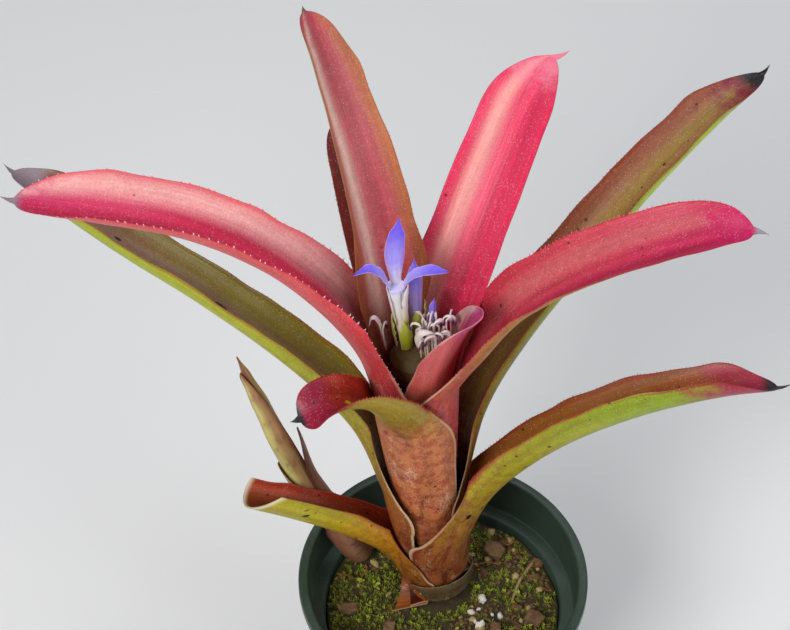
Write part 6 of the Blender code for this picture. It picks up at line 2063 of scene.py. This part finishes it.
LITTER = (
    Litter("moss_tufts", Grain.TUFT,
           WornFinish("moss_finish", paint(0.46, 0.50, 0.15), paint(0.64, 0.66, 0.20),
                      paint(0.30, 0.34, 0.10),
                      scale=170.0, patch_share=0.9, dust_share=0.55, grain_scale=900.0, roughness=0.7),
           (1.0, 0.12, 0.1), 0.00100, (0.0010, 0.0019), 0.6, 0.0002, 4),
    Litter("moss_leaflets", Grain.LEAFLET,
           WornFinish("moss_bright_finish", paint(0.66, 0.72, 0.18), paint(0.52, 0.60, 0.14),
                      paint(0.78, 0.80, 0.36),
                      scale=260.0, grain_scale=1200.0, roughness=0.5),
           (0.50, 0.08, 0.0), 0.0040, (0.0010, 0.0019), 0.5, -0.0006, 9),
    Litter("mix_crumbs", Grain.LUMP,
           WornFinish("crumb_finish", paint(0.36, 0.27, 0.17), paint(0.52, 0.40, 0.24),
                      paint(0.20, 0.15, 0.10),
                      scale=420.0, patch_share=0.9, dust_share=0.6, grain_scale=2200.0, roughness=0.85),
           (0.18, 1.0, 0.8), 0.00135, (0.0005, 0.0012), 1.5, 0.0, 2),
    Litter("mix_bark_flakes", Grain.FLAKE,
           WornFinish("flake_finish", paint(0.36, 0.24, 0.14), paint(0.52, 0.38, 0.22),
                      paint(0.22, 0.15, 0.10),
                      scale=240.0, patch_share=0.9, dust_share=0.6, grain_scale=1800.0, roughness=0.85),
           (0.05, 0.5, 0.1), 0.0052, (0.0014, 0.0026), 0.7, -0.0004, 6),
    Litter("mix_granules", Grain.LUMP,
           WornFinish("granule_finish", paint(0.72, 0.62, 0.42), paint(0.58, 0.50, 0.26),
                      paint(0.80, 0.74, 0.58),
                      scale=260.0, grain_scale=1600.0, roughness=0.75),
           (0.20, 0.8, 0.5), 0.0042, (0.0007, 0.0017), 1.5, -0.0003, 12),
    Litter("perlite", Grain.LUMP,
           WornFinish("perlite_finish", paint(0.92, 0.91, 0.87), paint(0.84, 0.81, 0.72),
                      paint(0.66, 0.60, 0.46),
                      scale=300.0, dust_share=0.35, grain_scale=1500.0, roughness=0.8),
           (0.0, 0.03, 0.75), 0.0026, (0.0006, 0.0017), 1.5, -0.0006, 21),
    Litter("mix_fibres", Grain.FIBRE,
           WornFinish("fibre_finish", paint(0.62, 0.38, 0.18), paint(0.46, 0.28, 0.14),
                      paint(0.72, 0.56, 0.34),
                      scale=200.0, grain_scale=1500.0, roughness=0.8),
           (0.10, 0.6, 0.3), 0.0054, (0.0022, 0.0050), 0.35, -0.0008, 31),
)


@dataclass(frozen=True)
class Ground:
    """Potting mix with moss, crumbs, perlite, bark chips and a twig."""

    crown: Crown = field(default_factory=Crown)
    crown_clear: float = 0.0132
    offset_foot: tuple[float, float] = (-0.0285, 0.0230)
    offset_clear: float = 0.0048
    wall_clear: float = 0.0397
    perlite_place: tuple[float, float] = (0.015, -0.002)
    perlite_reach: float = 0.0065
    litter: tuple[Litter, ...] = LITTER
    chips: int = 9

    def cover(self, x: float, y: float, rise: float) -> Point:
        """Shares of moss, open mix and perlite at a place.

        Args:
            x: Place along X.
            y: Place along Y.
            rise: How far the surface there faces up.

        Returns:
            The three shares, all nothing where another piece stands.
        """
        room = 1.0 if rise > 0.4 else 0.0
        room *= float(math.hypot(x - self.crown.x, y - self.crown.y) > self.crown_clear)
        room *= float(math.hypot(x - self.offset_foot[0], y - self.offset_foot[1]) > self.offset_clear)
        room *= float(math.hypot(x, y) < self.wall_clear)
        patch = noise.fractal(Vector((x * 90.0, y * 90.0, 2.0)), 0.8, 2.0, 3)
        moss = float(smooth_step((patch * 1.4 + 0.55 - x * 14.0) / 0.30))
        near = math.hypot(x - self.perlite_place[0], y - self.perlite_place[1]) / self.perlite_reach
        perlite = 1.0 - float(smooth_step((near - 0.6) / 0.6))
        return (room * moss * (1.0 - perlite), room * (1.0 - moss) * (1.0 - perlite), room * perlite)

    def build(self, wear: bpy.types.NodeTree) -> None:
        """Make the ground and all that lies on it.

        Args:
            wear: The shared wear pattern.
        """
        soil = WornFinish("mix_finish", paint(0.24, 0.19, 0.12), paint(0.32, 0.30, 0.13),
                          paint(0.13, 0.10, 0.07),
                          scale=260.0, patch_share=0.8, dust_share=0.5, grain_scale=2400.0, roughness=0.9,
                          relief=0.0005)
        surface = refined("potting_mix", "potting_mix_surface", soil.material(wear), 3, 0.0007, 160.0, True)
        settle(surface, "potting_mix", "potting_mix")
        self.strew(surface, wear)
        bark = WornFinish("bark_finish", paint(0.42, 0.30, 0.20), paint(0.56, 0.44, 0.31),
                          paint(0.28, 0.20, 0.14),
                          scale=330.0, patch_share=0.8, dust_share=0.6, grain_scale=1500.0, roughness=0.85,
                          relief=0.0005).material(wear)
        for index in range(1, self.chips + 1):
            settle(refined(f"bark_chip_{index}", f"bark_chip_{index}_rough", bark, 3, 0.00035, 420.0), "bark",
                   f"bark_chip_{index}")
        twig = WornFinish("twig_finish", paint(0.66, 0.54, 0.38), paint(0.50, 0.38, 0.24),
                          paint(0.78, 0.70, 0.54),
                          scale=380.0, grain_scale=1800.0, roughness=0.75, relief=0.0003).material(wear)
        settle(refined("twig", "twig_rough", twig, 3, 0.00012, 700.0), "twig", "twig")

    def strew(self, surface: bpy.types.Object, wear: bpy.types.NodeTree) -> None:
        """Strew moss, crumbs and the rest over the ground.

        Args:
            surface: The ground's piece.
            wear: The shared wear pattern.
        """
        mesh = surface.data
        layer = mesh.attributes.new("cover", "FLOAT_VECTOR", "POINT")
        rows = [self.cover(vert.co.x, vert.co.y, vert.normal.z) if vert.co.z > 0.060 else (0.0, 0.0, 0.0)
                for vert in mesh.vertices]
        layer.data.foreach_set("vector", np.asarray(rows, np.float32).ravel())
        tree = scatter_tree()
        for kind in self.litter:
            shape = bpy.data.objects.new("shape", kind.grain.mesh())
            piece = run_tree(kind.name, mesh.copy(), tree, {
                "Shape": shape, "Apart": kind.apart, "Where": kind.where, "Least": kind.sizes[0],
                "Most": kind.sizes[1], "Lean": kind.lean, "Sink": kind.sink, "Seed": kind.seed,
                "Material": kind.finish.material(wear)})
            bpy.data.objects.remove(shape)
            settle(piece, "potting_mix")


# ---------------------------------------------------------------- studio
@dataclass(frozen=True)
class Lamp:
    """One soft rectangular light, aimed at the plant."""

    name: str
    place: Point
    size: tuple[float, float]
    power: float
    colour: tuple[float, float, float] = (1.0, 1.0, 1.0)
    aim: Point = (0.0, 0.01, 0.16)

    def build(self) -> None:
        """Add the light to the scene."""
        data = bpy.data.lights.new(self.name, "AREA")
        data.shape = "RECTANGLE"
        data.size, data.size_y = self.size
        data.energy = self.power
        data.color = self.colour
        lamp = bpy.data.objects.new(self.name, data)
        lamp.location = self.place
        lamp.rotation_euler = (Vector(self.aim) - Vector(self.place)).to_track_quat("-Z", "Y").to_euler()
        bpy.context.scene.collection.objects.link(lamp)


@dataclass(frozen=True)
class Studio:
    """Pale floor, soft lights and camera."""

    floor_size: float = 6.0
    camera_place: Point = (-0.0166, -0.4781, 0.7733)
    camera_pitch: float = 41.16
    lens: float = 109.37
    lamps: tuple[Lamp, ...] = (
        Lamp("key_light", (-0.50, -0.75, 0.95), (0.50, 0.50), 9.5, (1.0, 0.985, 0.96)),
        Lamp("fill_light", (0.85, -0.55, 0.75), (0.8, 0.8), 4.0, (0.96, 0.98, 1.0)),
        Lamp("top_light", (0.10, 0.35, 1.20), (0.7, 0.5), 3.2),
    )

    def build_floor(self) -> None:
        """Make the pale floor."""
        half = self.floor_size / 2
        corners = [(-half, -half, 0.0), (half, -half, 0.0), (half, half, 0.0), (-half, half, 0.0)]
        finish = WornFinish("floor_finish", paint(0.96, 0.96, 0.96), paint(0.95, 0.95, 0.95),
                            paint(0.97, 0.97, 0.97),
                            scale=1.5, grain_scale=4000.0, dust_share=0.1, roughness=0.85, relief=0.0)
        floor = mesh_object("floor", corners, [(0, 1, 2, 3)],
                            finish.material(bpy.data.node_groups["wear_pattern"]))

    def build(self) -> None:
        """Make floor, lights, world and camera."""
        self.build_floor()
        for lamp in self.lamps:
            lamp.build()
        world = bpy.data.worlds.new("soft_world")
        world.use_nodes = True
        world.node_tree.nodes["Background"].inputs["Color"].default_value = (0.86, 0.90, 1.0, 1.0)
        world.node_tree.nodes["Background"].inputs["Strength"].default_value = 0.24
        bpy.context.scene.world = world
        bpy.context.scene.view_settings.view_transform = "Standard"
        data = bpy.data.cameras.new("camera")
        data.lens = self.lens
        data.sensor_width = 36.0
        data.clip_start = 0.01
        camera = bpy.data.objects.new("camera", data)
        camera.location = self.camera_place
        camera.rotation_euler = (math.radians(self.camera_pitch), 0.0, 0.0)
        bpy.context.scene.collection.objects.link(camera)
        bpy.context.scene.camera = camera


def main() -> None:
    """Build the plant piece by piece, then the studio."""
    logging.basicConfig(level=logging.INFO, format="%(name)s: %(message)s")
    pattern, wear = leaf_pattern(), wear_pattern()
    Rosette().build(pattern, wear)
    Flowers().build(wear)
    Offset().build()
    Ground().build(wear)
    Pot().build(wear)
    Studio().build()


if __name__ == "__main__":
    main()
